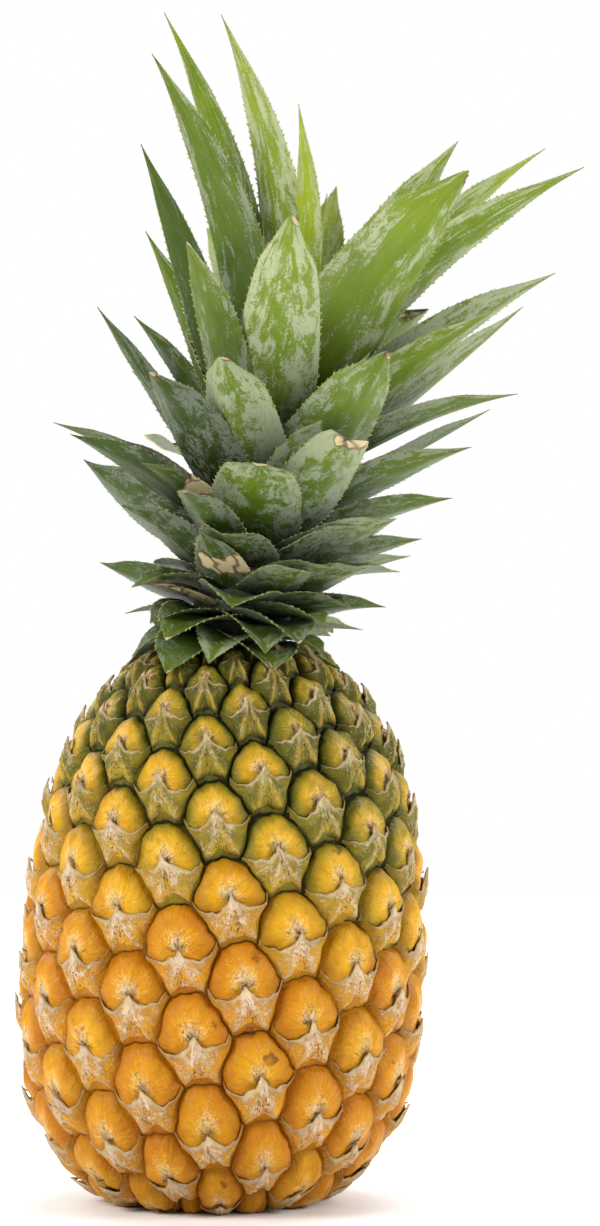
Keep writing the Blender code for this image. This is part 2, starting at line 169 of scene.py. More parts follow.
class Recipe:
    """The node tree of one finish, with its Principled shader."""

    def __init__(self, name: str) -> None:
        """Starts a material with a bare Principled shader.

        Args:
            name: The material's name.
        """
        self.material = bpy.data.materials.new(name)
        self.material.use_nodes = True
        self.tree = self.material.node_tree
        self.shader = self.tree.nodes["Principled BSDF"]

    def feed(self, node: bpy.types.Node, inputs: dict) -> None:
        """Gives a node's sockets their values or links.

        Args:
            node: The node.
            inputs: Values, levels or output sockets, by the name or place of the socket they go to.
        """
        for key, value in inputs.items():
            value = value.socket if isinstance(value, Level) else value
            if isinstance(value, bpy.types.NodeSocket):
                self.tree.links.new(value, node.inputs[key])
            else:
                node.inputs[key].default_value = value

    def add(self, kind: str, settings: dict | None = None, inputs: dict | None = None) -> bpy.types.Node:
        """Adds one node.

        Args:
            kind: The node's type.
            settings: Its own settings, set first; "stops" holds a ramp's (place, colour) pairs.
            inputs: Values or links for its sockets, by name or place.

        Returns:
            The new node.
        """
        node = self.tree.nodes.new(kind)
        for key, value in (settings or {}).items():
            if key == "stops":
                stops = node.color_ramp.elements
                while len(stops) < len(value):
                    stops.new(0.5)
                for stop, (place, colour) in zip(stops, value):
                    stop.position, stop.color = place, colour
            else:
                setattr(node, key, value)
        self.feed(node, inputs or {})
        return node

    def math(self, operation: str, *values: Amount, clamp: bool = False) -> Level:
        """One Math node on up to three values, its result kept between 0 and 1 where clamp is true."""
        node = self.add("ShaderNodeMath", {"operation": operation, "use_clamp": clamp}, dict(enumerate(values)))
        return Level(self, node.outputs[0])

    def place(self, turn: Place = (0.0, 0.0, 0.0)) -> bpy.types.NodeSocket:
        """Object coordinates, turned by a Mapping node."""
        inputs = {"Vector": self.add("ShaderNodeTexCoord").outputs["Object"], "Rotation": turn}
        return self.add("ShaderNodeMapping", inputs=inputs).outputs["Vector"]

    def marks(self, *names: str) -> list[Level]:
        """The numbers stored on the mesh under these names."""
        nodes = [self.add("ShaderNodeAttribute", {"attribute_name": name}) for name in names]
        return [Level(self, node.outputs["Fac"]) for node in nodes]

    def join(self, x: Amount, y: Amount, z: Amount = 0.0) -> bpy.types.NodeSocket:
        """A vector made of three numbers, as coordinates for a pattern that follows the surface."""
        return self.add("ShaderNodeCombineXYZ", inputs={0: x, 1: y, 2: z}).outputs[0]

    def noise(
        self, where: bpy.types.NodeSocket, scale: float, detail: float = 3.0, rough: float = 0.55, bend: float = 0.0
    ) -> Level:
        """Cloudy noise about 0.5, of this scale, number of finer layers, their strength, and warp by itself."""
        inputs = {"Vector": where, "Scale": scale, "Detail": detail, "Roughness": rough, "Distortion": bend}
        return Level(self, self.add("ShaderNodeTexNoise", inputs=inputs).outputs[0])

    def cells(self, where: bpy.types.NodeSocket, scale: float) -> Level:
        """Distance to the nearest of scattered points."""
        node = self.add("ShaderNodeTexVoronoi", inputs={"Vector": where, "Scale": scale})
        return Level(self, node.outputs["Distance"])

    def mix(self, share: Amount, first: Tint, second: Tint) -> bpy.types.NodeSocket:
        """A colour between two, where a share of 0 gives the first and 1 the second."""
        return self.add("ShaderNodeMix", {"data_type": "RGBA"}, {0: share, 6: first, 7: second}).outputs[2]

    def layers(self, colour: Tint, *coats: tuple[Amount, Tint]) -> Tint:
        """A colour with coats laid over it in turn.

        Args:
            colour: The lowest colour.
            coats: For each coat how much of it covers, and its colour.

        Returns:
            The mixed colour.
        """
        for share, tint in coats:
            colour = self.mix(share, colour, tint)
        return colour

    def ramp(self, value: Level, places: Sequence[float], colours: Sequence[Colour]) -> bpy.types.NodeSocket:
        """A colour picked by the value along a ramp with these colours at these places."""
        stops = tuple(zip(places, colours))
        return self.add("ShaderNodeValToRGB", {"stops": stops}, {"Fac": value}).outputs["Color"]

    def finish(self, colour: Tint, rough: Amount, height: Level, lift: float, gloss: float) -> bpy.types.Material:
        """Feeds the shader.

        Args:
            colour: The base colour.
            rough: The roughness.
            height: The height that the bump follows.
            lift: How far in metres the bump rises over one unit of height.
            gloss: The specular level.

        Returns:
            The finished material.
        """
        raised = self.add("ShaderNodeBump", inputs={"Height": height, "Distance": lift, "Strength": 1.0}).outputs[0]
        inputs = {"Base Color": colour, "Roughness": rough, "Normal": raised, "Specular IOR Level": gloss}
        self.feed(self.shader, inputs)
        return self.material


# Finishes


@dataclass(frozen=True)
class EyeFinish:
    """The satin skin of the eyes' cheeks: olive where unripe, then yellow and deep orange, with creases and specks."""

    stops: tuple[float, ...] = (0.0, 0.3, 0.6, 1.0)
    rims: tuple[Colour, ...] = (paint(62, 64, 10), paint(112, 104, 16), paint(158, 114, 8), paint(164, 98, 4))
    hearts: tuple[Colour, ...] = (paint(128, 116, 24), paint(202, 154, 24), paint(208, 152, 10), paint(196, 130, 8))
    gold: Colour = paint(232, 184, 52)
    # Painted shade: near-black olive and dark brown for the grooves between the eyes.
    groove_shade_green: Colour = paint(22, 24, 4)
    groove_shade_brown: Colour = paint(112, 64, 8)
    scar: Colour = paint(92, 54, 26)
    fleck: Colour = paint(234, 206, 164)

    def material(self) -> bpy.types.Material:
        """Builds the finish.

        Returns:
            The material.
        """
        made = Recipe("eye_skin")
        across, up, ripe, chance, edge = made.marks("eye_across", "eye_up", "ripe", "chance", "edge")
        here = made.place()
        cloud, fine = made.noise(here, 90.0), made.noise(here, 900.0)
        crust, dents = made.noise(here, 520.0, 4.0, 0.7), made.noise(here, 250.0, 2.0)
        tone = (ripe + (cloud - 0.5) * 0.7 + (chance - 0.5) * 0.3).clip()
        rim, heart = made.ramp(tone, self.stops, self.rims), made.ramp(tone, self.stops, self.hearts)
        reach = (across * across + (up - 0.25) * (up - 0.25)) ** 0.5
        angle = made.math("ARCTAN2", up - 0.05, across)
        rays = made.noise(made.join(angle * 3.0, reach * 1.5, chance * 40.0), 3.5, 2.0)
        shreds = made.noise(made.join(angle * 5.0, reach * 3.0, chance * 17.0), 4.0).step(0.46, 0.54)
        worn = (crust + reach.step(0.42, 0.05) * 0.4 + (chance - 0.5) * 0.1).step(0.74, 0.9)
        dusted = made.cells(here, 800.0).step(0.22, 0.06) * made.noise(here, 150.0).step(0.46, 0.6)
        crumbs = made.noise(here, 1500.0, 3.0, 0.65) + reach.step(0.6, 0.1) * 0.16 + (cloud - 0.5) * 0.4
        blots = (made.cells(here, 95.0) + (crust - 0.5) * 0.5).step(0.22, 0.12)
        blots = blots * made.noise(here, 60.0).step(0.52, 0.62)
        # Painted shade: a dark olive band round each cheek's rim next to the groove, strongest where unripe.
        rim_shade = (edge + (cloud - 0.5) * 0.12).step(0.66, 0.97)
        # Where the grooves' painted shade lies, wider where the skin is unripe.
        deep = edge + (cloud - 0.5) * 0.03 + ripe.step(0.9, 0.2) * 0.06
        groove = made.mix(ripe.step(0.35, 1.0), self.groove_shade_green, self.groove_shade_brown)
        skin = made.layers(
            heart,
            ((reach + (cloud - 0.5) * 0.3).step(0.3, 0.85), rim),
            (rays.step(0.5, 0.75) * reach.step(0.9, 0.3) * 0.3, self.gold),
            (rays.step(0.45, 0.25) * 0.4, rim),
            ((reach + (crust - 0.5) * 0.5).step(0.36, 0.12) * 0.45, self.gold),
            (worn * 0.75, made.mix(shreds, self.fleck, self.scar)),
            (dusted * 0.4 + crumbs.step(0.62, 0.7) * reach.step(0.5, 0.2) * 0.4, self.fleck),
            (blots * 0.8, self.scar),
            # Painted shade at the cheek's rim.
            (rim_shade * (0.9 - ripe * 0.72), made.mix(ripe.step(0.3, 0.9), self.rims[0], rim)),
            # Painted shade darkening the grooves between the eyes.
            (deep.step(0.955, 1.0) * (0.95 - ripe * 0.35), groove),
            (dents.step(0.5, 0.3) * 0.35, rim),
        )
        height = rays * 0.8 + cloud * 0.9 + dents * 1.1 + fine * 0.22 + crust * 0.3 + worn * 0.4 - blots * 0.5
        return made.finish(skin, 0.36 + fine * 0.16 + edge.step(0.9, 1.0) * 0.3, height, 0.0007, 0.17)


@dataclass(frozen=True)
class BractFinish:
    """The papery bract under each eye: pale powder streaked from its spike down, over the colour of the skin."""

    stops: tuple[float, ...] = (0.0, 0.3, 0.62, 1.0)
    skins: tuple[Colour, ...] = (paint(104, 102, 24), paint(156, 140, 32), paint(214, 160, 30), paint(220, 150, 24))
    powder: Colour = paint(234, 208, 180)
    green_powder: Colour = paint(196, 184, 136)
    # Painted highlight: lighter colours laid along the bract's ridges and spine.
    fold: Colour = paint(222, 170, 76)
    green_ridge_highlight: Colour = paint(196, 160, 52)
    lip: Colour = paint(238, 212, 164)
    tip: Colour = paint(168, 92, 34)
    # Brown of the real slits, also used as painted shade at the bract's foot where ripe; below it the foot's
    # near-black green painted shade where unripe.
    slit_and_foot_shade_brown: Colour = paint(92, 46, 20)
    foot_shade_green: Colour = paint(24, 26, 6)
    # Painted shade: dark green for the hollows between the bract's ridges.
    trough_shade_green: Colour = paint(58, 66, 16)

    def material(self) -> bpy.types.Material:
        """Builds the finish.

        Returns:
            The material.
        """
        made = Recipe("bract_paper")
        across, rise, ripe, chance, spike = made.marks("bract_across", "bract_rise", "ripe", "chance", "spike")
        here = made.place()
        cloud, clumps = made.noise(here, 130.0, 4.0), made.noise(here, 330.0, 4.0, 0.65)
        fine, grit = made.noise(here, 1300.0, 3.0, 0.7), made.noise(here, 2400.0, 2.0, 0.6)
        tone = (ripe + (cloud - 0.5) * 0.4 + (chance - 0.5) * 0.15).clip()
        streak = made.noise(made.join(across / (1.25 - rise) * 6.0, rise * 1.2, chance * 50.0), 3.2, 4.0, 0.65)
        size = abs(across)
        ridge = abs(size - (1.0 - rise * 0.95) * 0.33).step(0.13, 0.0)
        spine = size.step(0.16, 0.02) * rise
        # Painted shade in the hollows between the bract's ridges, where unripe.
        trough_shade = abs(size - (1.0 - rise * 0.95) * 0.72 - rise * 0.06).step(0.26, 0.04) * ripe.step(0.8, 0.2)
        grains = grit * 0.45 + fine * 0.25 + clumps * 0.25 + streak * 0.05
        ray = ridge * 0.16 + spine * 0.2 + (streak - 0.5) * 0.7 + (clumps - 0.5) * 0.9
        likely = 0.12 + size.step(1.0, 0.2) * 0.14 + ray + rise * 0.3 - ripe.step(0.75, 0.1) * 0.14
        cover = (grains + (likely - 0.5) * 0.36).step(0.46, 0.56)
        dust = made.mix(ripe.step(0.15, 0.6), self.green_powder, self.powder)
        dots = made.cells(here, 800.0).step(0.26, 0.12) * made.noise(here, 170.0).step(0.42, 0.56)
        slits = made.noise(made.join(across * 14.0, rise * 4.0, chance * 31.0), 3.0, 1.0).step(0.59, 0.65)
        # Partly painted highlight along the ridges and spine, partly the paper's own streaks.
        ridge_highlight_and_streaks = (ridge * 0.9 + spine * 0.5 + (streak - 0.5) * 1.4).clip()
        # Painted shade: the bract's foot by the groove is darkened, most where unripe.
        low = (rise - ripe.step(0.9, 0.2) * 0.12).step(0.16, 0.0)
        skin = made.layers(
            made.ramp(tone, self.stops, self.skins),
            # Painted highlight on the ridges, mixed with the paper's streaks.
            (ridge_highlight_and_streaks * 0.85, made.mix(ripe.step(0.2, 0.7), self.green_ridge_highlight, self.fold)),
            # Painted shade in the hollows between the ridges.
            (trough_shade * rise.step(0.98, 0.7) * 0.5, self.trough_shade_green),
            (cover * 0.8, dust),
            ((spine * (streak + 0.1) - 0.3).clip() + dots * 0.6, dust),
            (slits * rise.step(0.97, 0.6) * (0.16 + size.step(0.22, 0.08) * 0.7), self.slit_and_foot_shade_brown),
            ((rise + (clumps - 0.5) * 0.14).step(0.84, 0.95) * (0.5 + fine * 0.5), self.lip),
            (spike.step(0.45, 0.95) * (0.35 + ripe.step(0.6, 0.0) * 0.5), self.tip),
            # Painted shade at the bract's foot.
            (low * (0.95 - ripe * 0.5), made.mix(ripe.step(0.2, 0.7), self.foot_shade_green, self.slit_and_foot_shade_brown)),
        )
        height = streak * 1.6 + fine * 0.4 + cover * 0.35 + clumps * 0.6 - slits * 0.6 + cloud * 0.5
        return made.finish(skin, 0.5 + fine * 0.25, height, 0.0006, 0.25)


@dataclass(frozen=True)
class TuftFinish:
    """The brown dried flower threads in the middle of each eye."""

    dark: Colour = paint(64, 44, 26)
    straw: Colour = paint(160, 130, 84)

    def material(self) -> bpy.types.Material:
        """Builds the finish.

        Returns:
            The material.
        """
        made = Recipe("dried_flower")
        grain = made.noise(made.place(), 700.0)
        return made.finish(made.mix(grain.step(0.35, 0.65), self.dark, self.straw), 0.8, grain, 0.0002, 0.2)


@dataclass(frozen=True)
class StalkFinish:
    """The cut end of the stalk: pale rings of dried fibre ends, browner at the rim."""

    pale: Colour = paint(196, 172, 118)
    brown: Colour = paint(112, 78, 42)
    dark: Colour = paint(62, 42, 24)

    def material(self, name: str) -> bpy.types.Material:
        """Builds the finish.

        Args:
            name: The material's name.

        Returns:
            The material.
        """
        made = Recipe(name)
        here = made.place()
        parts = made.add("ShaderNodeSeparateXYZ", inputs={0: here})
        x, y = Level(made, parts.outputs[0]), Level(made, parts.outputs[1])
        radius = (x * x + y * y) ** 0.5
        fibre, cloud = made.cells(here, 900.0), made.noise(here, 160.0, 4.0)
        rings = ((cloud + radius * 30.0).step(0.45, 0.85), self.brown)
        colour = made.layers(self.pale, rings, (fibre.step(0.32, 0.12) * 0.6, self.dark))
        return made.finish(colour, 0.85, fibre + cloud * 0.6, 0.0005, 0.2)


@dataclass(frozen=True)
class LeafFinish:
    """A crown leaf: green skin, a grey waxy bloom scraped off in strokes and crumbs, and pale or dried tips."""

    stops: tuple[float, ...] = (0.0, 0.34, 0.66, 1.0)
    skins: tuple[Colour, ...] = (paint(34, 46, 12), paint(66, 88, 18), paint(114, 138, 20), paint(174, 190, 24))
    wax: Colour = paint(196, 202, 168)
    # Painted shade: a greyer, darker copy of the wax for low-toned leaves and leaf roots.
    shaded_wax_grey: Colour = paint(132, 140, 124)
    shade: Colour = paint(16, 24, 8)
    dry: Colour = paint(222, 204, 158)
    burnt: Colour = paint(106, 72, 56)
    edge: Colour = paint(140, 154, 66)
    stroke_turn: Place = (0.4, 0.5, 0.8)

    def material(self) -> bpy.types.Material:
        """Builds the finish.

        Returns:
            The material.
        """
        made = Recipe("leaf_skin")
        across, along, tone, dryness = made.marks("across", "along", "tone", "dryness")
        chance, bloom, under = made.marks("chance", "bloom", "under")
        here = made.place()
        cloud, crumbs = made.noise(here, 60.0, 4.0), made.noise(here, 1500.0, 2.0, 0.6)
        threads = made.noise(made.join(across * 9.0 + chance * 60.0, along * 0.5, chance * 20.0), 9.0, 2.0)
        sheet = made.join(across * 1.6 + chance * 30.0, along * 5.0, chance * 70.0)
        film = made.noise(sheet, 2.1, 7.0, 0.66, 0.5)
        streaks = made.noise(made.join(across * 3.0 + chance * 9.0, along * 4.0, chance * 11.0), 3.0, 4.0, 0.7)
        lines = made.noise(made.join(across * 26.0 + chance * 9.0, along * 2.5, chance * 13.0), 2.0, 3.0, 0.7)
        fresh = (tone + (cloud - 0.5) * 0.3 + (threads - 0.5) * 0.12).clip()
        side = abs(across) * 0.16 - 0.1
        grit = (crumbs - 0.5) * (0.6 - along * 0.4)
        amount = film + side + (bloom - 0.5) * 0.42 + (streaks - 0.5) * 0.3 + grit + under * 0.05
        strokes = abs(made.noise(made.place(self.stroke_turn), 180.0, 2.0, 0.5, 1.4) - 0.5).step(0.026, 0.012)
        strokes = strokes * made.noise(here, 75.0, 2.0).step(0.44, 0.54)
        coat = amount.step(0.49, 0.56) * (1.0 - strokes * 0.9)
        patch = made.noise(here, 90.0, 2.5, 0.5)
        wither = dryness * (1.0 - across * 0.3) + (patch - 0.5) * 0.8
        wilt = wither.step(0.5, 0.56)
        char = abs(made.noise(here, 95.0, 1.5, 0.5, 0.6) - 0.5).step(0.05, 0.015) * 0.8 + wither.step(0.6, 0.53)
        char = char + dryness.step(0.8, 1.0) * cloud.step(0.35, 0.6)
        # The wax dims to its painted shaded copy where the tone is low.
        wax = made.mix(tone.step(0.28, 0.72), self.shaded_wax_grey, self.wax)
        skin = made.layers(
            made.ramp(fresh, self.stops, self.skins),
            (amount.step(0.38, 0.62) * 0.26 + coat * (streaks * 0.3 + cloud * 0.2 + lines * 0.3), wax),
            (abs(across).step(0.95, 1.0) * cloud.step(0.4, 0.65) * 0.55, self.edge),
            (along.step(0.55, 0.08) * 0.76, self.shade),
            (wilt * 0.92, made.mix(char.clip(), self.dry, self.burnt)),
        )
        height = threads * 0.6 + lines * 0.4 + coat * 0.25 + crumbs * 0.12 + cloud * 0.8 + wilt * patch
        return made.finish(skin, 0.34 + coat * 0.22 + wilt * 0.3, height, 0.0004, 0.22)


@dataclass(frozen=True)
class ToothFinish:
    """The small horny teeth on the leaves' edges."""

    horn: Colour = paint(134, 144, 66)
    tip: Colour = paint(182, 154, 88)

    def material(self) -> bpy.types.Material:
        """Builds the finish.

        Returns:
            The material.
        """
        made = Recipe("leaf_teeth")
        (point,) = made.marks("point")
        colour = made.mix(point.step(0.3, 0.9), self.horn, self.tip)
        return made.finish(colour, 0.6, made.noise(made.place(), 500.0), 0.0001, 0.3)


@dataclass(frozen=True)
class FloorFinish:
    """The pale studio paper that the fruit stands on."""

    paper: Colour = (0.86, 0.86, 0.86, 1.0)
    grain: Colour = (0.88, 0.88, 0.87, 1.0)

    def material(self) -> bpy.types.Material:
        """Builds the finish.

        Returns:
            The material.
        """
        made = Recipe("studio_paper")
        grain = made.noise(made.place(), 40.0)
        return made.finish(made.mix(grain, self.paper, self.grain), 0.9, grain, 0.00002, 0.1)


# Mesh building


@dataclass
class Sheets:
    """Vertices and faces gathered from many grids, with numbers stored on the faces' corners."""

    points: list[np.ndarray] = field(default_factory=list)
    quads: list[np.ndarray] = field(default_factory=list)
    marks: dict[str, list[np.ndarray]] = field(default_factory=dict)
    count: int = 0

    def add_grids(self, grids: np.ndarray, marks: Marks, closed: bool = True, flip: bool = False) -> "Sheets":
        """Adds a stack of grids, each a sheet of quads between neighbouring rows and columns.

        Args:
            grids: Points as (sheet, row, column, 3).
            marks: Numbers for the points, for each or for whole rows, columns or sheets.
            closed: True where the last column joins the first.
            flip: True to turn the faces over.

        Returns:
            These sheets.
        """
        sheets, rows, columns = shape = grids.shape[:3]
        row = np.arange(rows - 1)[:, None] * columns
        column = np.arange(columns if closed else columns - 1)
        after = (column + 1) % columns
        corners = [row + column, row + after, row + columns + after, row + columns + column]
        quads = np.stack(corners, axis=-1).reshape(-1, 4)[:, :: -1 if flip else 1]
        starts = self.count + np.arange(sheets)[:, None, None] * rows * columns
        self.quads.append((quads + starts).reshape(-1, 4))
        self.points.append(grids.reshape(-1, 3))
        for name, values in marks.items():
            self.marks.setdefault(name, []).append(np.broadcast_to(values, shape).reshape(-1))
        self.count += sheets * rows * columns
        return self

    def build(self, name: str, material: bpy.types.Material, weld: float = 1e-6) -> bpy.types.Object:
        """Makes one smooth object: points in the same place become one, and faces that shrink to a line go.

        Args:
            name: The object's name.
            material: Its finish.
            weld: The grid to which points are rounded when they are compared.

        Returns:
            The new object, linked to the scene.
        """
        points, quads = np.concatenate(self.points), np.concatenate(self.quads)
        rounded = np.round(points / weld).astype(np.int64)
        _, first, back = np.unique(rounded, axis=0, return_index=True, return_inverse=True)
        joined = back.reshape(-1)[quads]
        same = joined == np.roll(joined, -1, axis=1)
        keep = same.sum(axis=1) <= 1
        quads, joined, solid = quads[keep], joined[keep], ~same[keep]
        sizes = solid.sum(axis=1)
        mesh = bpy.data.meshes.new(name)
        mesh.vertices.add(len(first))
        mesh.vertices.foreach_set("co", points[first].astype(np.float32).reshape(-1))
        mesh.loops.add(int(sizes.sum()))
        mesh.loops.foreach_set("vertex_index", joined[solid].astype(np.int32))
        mesh.polygons.add(len(sizes))
        mesh.polygons.foreach_set("loop_start", np.concatenate([[0], np.cumsum(sizes)[:-1]]).astype(np.int32))
        mesh.polygons.foreach_set("use_smooth", np.ones(len(sizes), dtype=bool))
        for mark, values in self.marks.items():
            layer = mesh.attributes.new(mark, "FLOAT", "CORNER")
            layer.data.foreach_set("value", np.concatenate(values)[quads[solid]].astype(np.float32))
        mesh.update(calc_edges=True)
        mesh.validate()
        mesh.materials.append(material)
        made = bpy.data.objects.new(name, mesh)
        bpy.context.scene.collection.objects.link(made)
        LOG.info("%s: %d triangles", name, int((sizes - 2).sum()))
        return made


def belongs(piece: bpy.types.Object, slot: str, *nodes: str) -> None:
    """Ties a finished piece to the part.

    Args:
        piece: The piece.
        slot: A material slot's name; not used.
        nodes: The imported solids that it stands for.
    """
    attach(piece, "root")
    if nodes:
        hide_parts(*nodes)


def wrap(front: np.ndarray, back: np.ndarray) -> np.ndarray:
    """A front and a back sheet as one tube: the back's rows follow in reverse, and rows and columns change places."""
    return np.swapaxes(np.concatenate([front, back[:, ::-1]], axis=1), 1, 2)


# Fruit


@dataclass
class Fruit:
    """The body: two half superellipses turned into a barrel, covered by a spiral of eyes in 8 and 13 rows."""

    radius: float = 60.2 * MM
    widest: float = 66.0 * MM
    upper_reach: float = 106.0 * MM
    lower_reach: float = 69.0 * MM
    upper_power: float = 2.4
    lower_power: float = 2.6
    outline_power: float = 2.5
    outline_points: int = 1600
    seat: float = 169.5 * MM
    lean: float = math.radians(2.0)
    hollow_radius: float = 12.5 * MM
    stem_radius: float = 9.0 * MM
    first_turn: float = math.radians(7.6)
    step_up: float = 1.25 * MM
    step_growth: float = 1.4e-3
    reference_arc: float = 10.5 * MM
    side_run: float = 7.5 * MM
    side_run_turn: float = math.radians(54.0)
    groove: float = 2.8 * MM
    crown_height: float = 2.2 * MM
    fold_depth: float = 0.4 * MM
    floor_depth: float = 1.5 * MM
    dimple: tuple[float, float] = (0.6, 0.25)
    crease: tuple[float, float] = (0.4, 0.15)
    paper: tuple[float, float] = (0.45 * MM, 0.05 * MM)
    press: tuple[float, float] = (4 * MM, 0.2)
    side_bulge: tuple[float, float] = (0.009, 0.4 * MM)
    top_bulge: float = 1.6 * MM
    waver: tuple[float, float] = (0.0045, 0.28 * MM)
    turn_waves: tuple[tuple[float, float], ...] = ((29, 2.1), (61, -1.3))
    arc_waves: tuple[tuple[float, float], ...] = ((37, -1.9), (71, 1.1))
    eye_numbers: tuple[int, int] = (-140, 110)
    end_gaps: tuple[float, float] = (4 * MM, 2 * MM)
    wobble_limit: float = 1.6
    bare_radii: tuple[float, float] = (34 * MM, 44 * MM)
    ripe_from: float = 78.0 * MM
    spokes_per_side: int = 7
    rings: int = 13
    threads: int = 5
    hollow_radii: tuple[float, ...] = (32.0, 27.5, 24.0, 18.0, 15.9, 14.6, 13.2, 12.2, 11.6, 11.6, 10.0, 0.0)
    hollow_heights: tuple[float, ...] = (4.8, 3.0, 1.2, 0.95, 0.9, 1.8, 3.4, 5.2, 7.0, 7.3, 7.4, 7.4)
    seed: int = 12

    def __post_init__(self) -> None:
        """Works out the outline table, the eyes that lie on it and the template's inverse."""
        self.arcs, self.radii, self.heights = self._outline()
        index = np.arange(*self.eye_numbers)
        arc = self.eye_arc(index)
        self.index = index[(arc > self.arcs[0] + self.end_gaps[0]) & (arc < self.arcs[-1] - self.end_gaps[1])]
        draw = np.random.default_rng(self.seed)
        self.each = (len(self.index), 1, 1)
        self.chance = draw.random(self.each)
        wobble = draw.normal(size=(len(self.index), 6))
        self.wave = np.clip(wobble, -self.wobble_limit, self.wobble_limit).T[:, :, None, None]
        self.top = np.clip((-self.index - 10) / 80, 0, 1).reshape(self.each)
        radius = np.interp(self.eye_arc(self.index), self.arcs, self.radii)
        self.bare = ease(*self.bare_radii, radius).reshape(self.each)
        self.corners = np.array(((1, 0), (0.5, 1), (-0.5, 1), (-1, 0), (-0.5, -1), (0.5, -1)), dtype=float)
        self.inverse = np.linalg.inv(np.stack([self.corners, np.roll(self.corners, -1, axis=0)], axis=-1))
        self.sides = self._sides()

    def _outline(self) -> tuple[np.ndarray, np.ndarray, np.ndarray]:
        """The outline R = radius (1 - |z - widest|^p / reach^p)^(1/2.5), run inwards level at the base and the seat.

        Returns:
            Arc lengths from the widest height, upwards positive, with the radius and the height there.
        """
        heights = np.linspace(0.0, self.seat, self.outline_points)
        above = heights > self.widest
        reach = np.where(above, self.upper_reach, self.lower_reach)
        power = np.where(above, self.upper_power, self.lower_power)
        from_widest = np.abs(heights - self.widest)
        radii = self.radius * (1 - (from_widest / reach) ** power) ** (1 / self.outline_power)
        heights = np.concatenate([[0.0], heights, [self.seat]])
        radii = np.concatenate([[self.hollow_radius], radii, [self.stem_radius]])
        arcs = np.concatenate([[0.0], np.cumsum(np.hypot(np.diff(heights), np.diff(radii)))])
        return arcs - arcs[1 + int(np.argmin(from_widest))], radii, heights

    def eye_turn(self, index: np.ndarray) -> np.ndarray:
        """Turn of an eye's centre round the fruit: one divergence angle for each step down the spiral."""
        return self.first_turn + index * DIVERGENCE

    def eye_arc(self, index: np.ndarray) -> np.ndarray:
        """Arc length of an eye's centre: a slowly growing step for each eye, with one side running ahead."""
        steps = self.step_up * index * (1 + self.step_growth * index)
        return self.reference_arc - steps - self.side_run * np.sin(self.eye_turn(index) + self.side_run_turn)

    def _sides(self) -> np.ndarray:
        """Corner offsets of each eye: a corner is the middle of the three eyes that meet there.

        Returns:
            Offsets from the eye's centre as (eye, corner, turn and arc).
        """
        right, left = ((rows * DIVERGENCE + math.pi) % TURN - math.pi for rows in (8, 13))
        pairs = (((0, -1), (1, 0)), ((-1, -1), (0, -1)), ((-1, -1), (-1, 0)))
        pairs += (((-1, 0), (0, 1)), ((0, 1), (1, 1)), ((1, 0), (1, 1)))
        own = self.eye_arc(self.index)
        sides = []
        for pair in pairs:
            turn = sum(rights * right + lefts * left for rights, lefts in pair) / 3
            arc = sum(self.eye_arc(self.index + 8 * rights + 13 * lefts) - own for rights, lefts in pair) / 3
            sides.append(np.stack([np.full(len(own), turn), arc], axis=-1))
        return np.stack(sides, axis=1)

    def place(self, across: np.ndarray, up: np.ndarray, rise: np.ndarray) -> np.ndarray:
        """Puts template points on the fruit. A template hexagon's six triangles are stretched to each eye's own
        corners, and 4 times the product of a point's two shares moves it with its edge, so the eyes bulge over their
        upper neighbours. A small wave that all eyes share makes their edges uneven.

        Args:
            across: Template x, -1 at the left corner and 1 at the right, as (eye or 1, row, column).
            up: Template y, -1 at the lower edge and 1 at the upper one.
            rise: How far the point stands off the smooth outline.

        Returns:
            Points as (eye, row, column, 3).
        """
        across, up, rise = np.broadcast_arrays(across, up, rise)
        edges = np.arctan2(self.corners[:, 1], self.corners[:, 0]) % TURN
        sector = np.searchsorted(edges, np.arctan2(up, across) % TURN, side="right") - 1
        shares = np.einsum("...ij,...j->...i", self.inverse[sector], np.stack([across, up], axis=-1))
        eye = np.arange(len(self.index)).reshape(self.each)
        first, second = self.sides[eye, sector], self.sides[eye, (sector + 1) % 6]
        out, rising = self.side_bulge
        bulges = np.array(((out, rising), (0.0, self.top_bulge), (-out, rising)))[sector % 3]
        offset = shares[..., :1] * first + shares[..., 1:] * second
        offset = offset + 4 * shares.prod(axis=-1)[..., None] * bulges
        turn = self.eye_turn(self.index).reshape(self.each) + offset[..., 0]
        arc = self.eye_arc(self.index).reshape(self.each) + offset[..., 1]
        swing, heave = self.waver
        turned = sum((swing * np.sin(count * turn + arc / (run * MM)) for count, run in self.turn_waves), turn)
        raised = sum((heave * np.sin(count * turn + arc / (run * MM)) for count, run in self.arc_waves), arc)
        return self.on_outline(turned, raised, rise)

    def on_outline(self, turn: np.ndarray, arc: np.ndarray, rise: np.ndarray) -> np.ndarray:
        """Points at these turns and arc lengths, raised along the outline's normal. The base is pressed flat: no point
        is lower than a fifth of what its rise lacks of 4 mm, so what stands out further still lies lower.

        Args:
            turn: Angle round the fruit from -Y towards +X.
            arc: Arc length from the widest height.
            rise: Distance off the outline.

        Returns:
            Points as (..., 3).
        """
        arc = np.clip(arc, self.arcs[0], self.arcs[-1])
        places = (arc, arc - 2 * MM, arc + 2 * MM)
        radius, radius_below, radius_above = (np.interp(place, self.arcs, self.radii) for place in places)
        height, height_below, height_above = (np.interp(place, self.arcs, self.heights) for place in places)
        inward, upward = radius_below - radius_above, height_above - height_below
        length = np.maximum(np.hypot(inward, upward), TINY)
        rise = rise * (1 - 0.85 * ease(self.seat - 0.2 * MM, self.seat, height))
        radius = radius + rise * upward / length
        full, share = self.press
        height = np.maximum(height + rise * inward / length, np.maximum(full - rise, 0.0) * share)
        x = radius * np.sin(turn) + height * math.tan(self.lean)
        return np.stack([x, -radius * np.cos(turn), height], axis=-1)

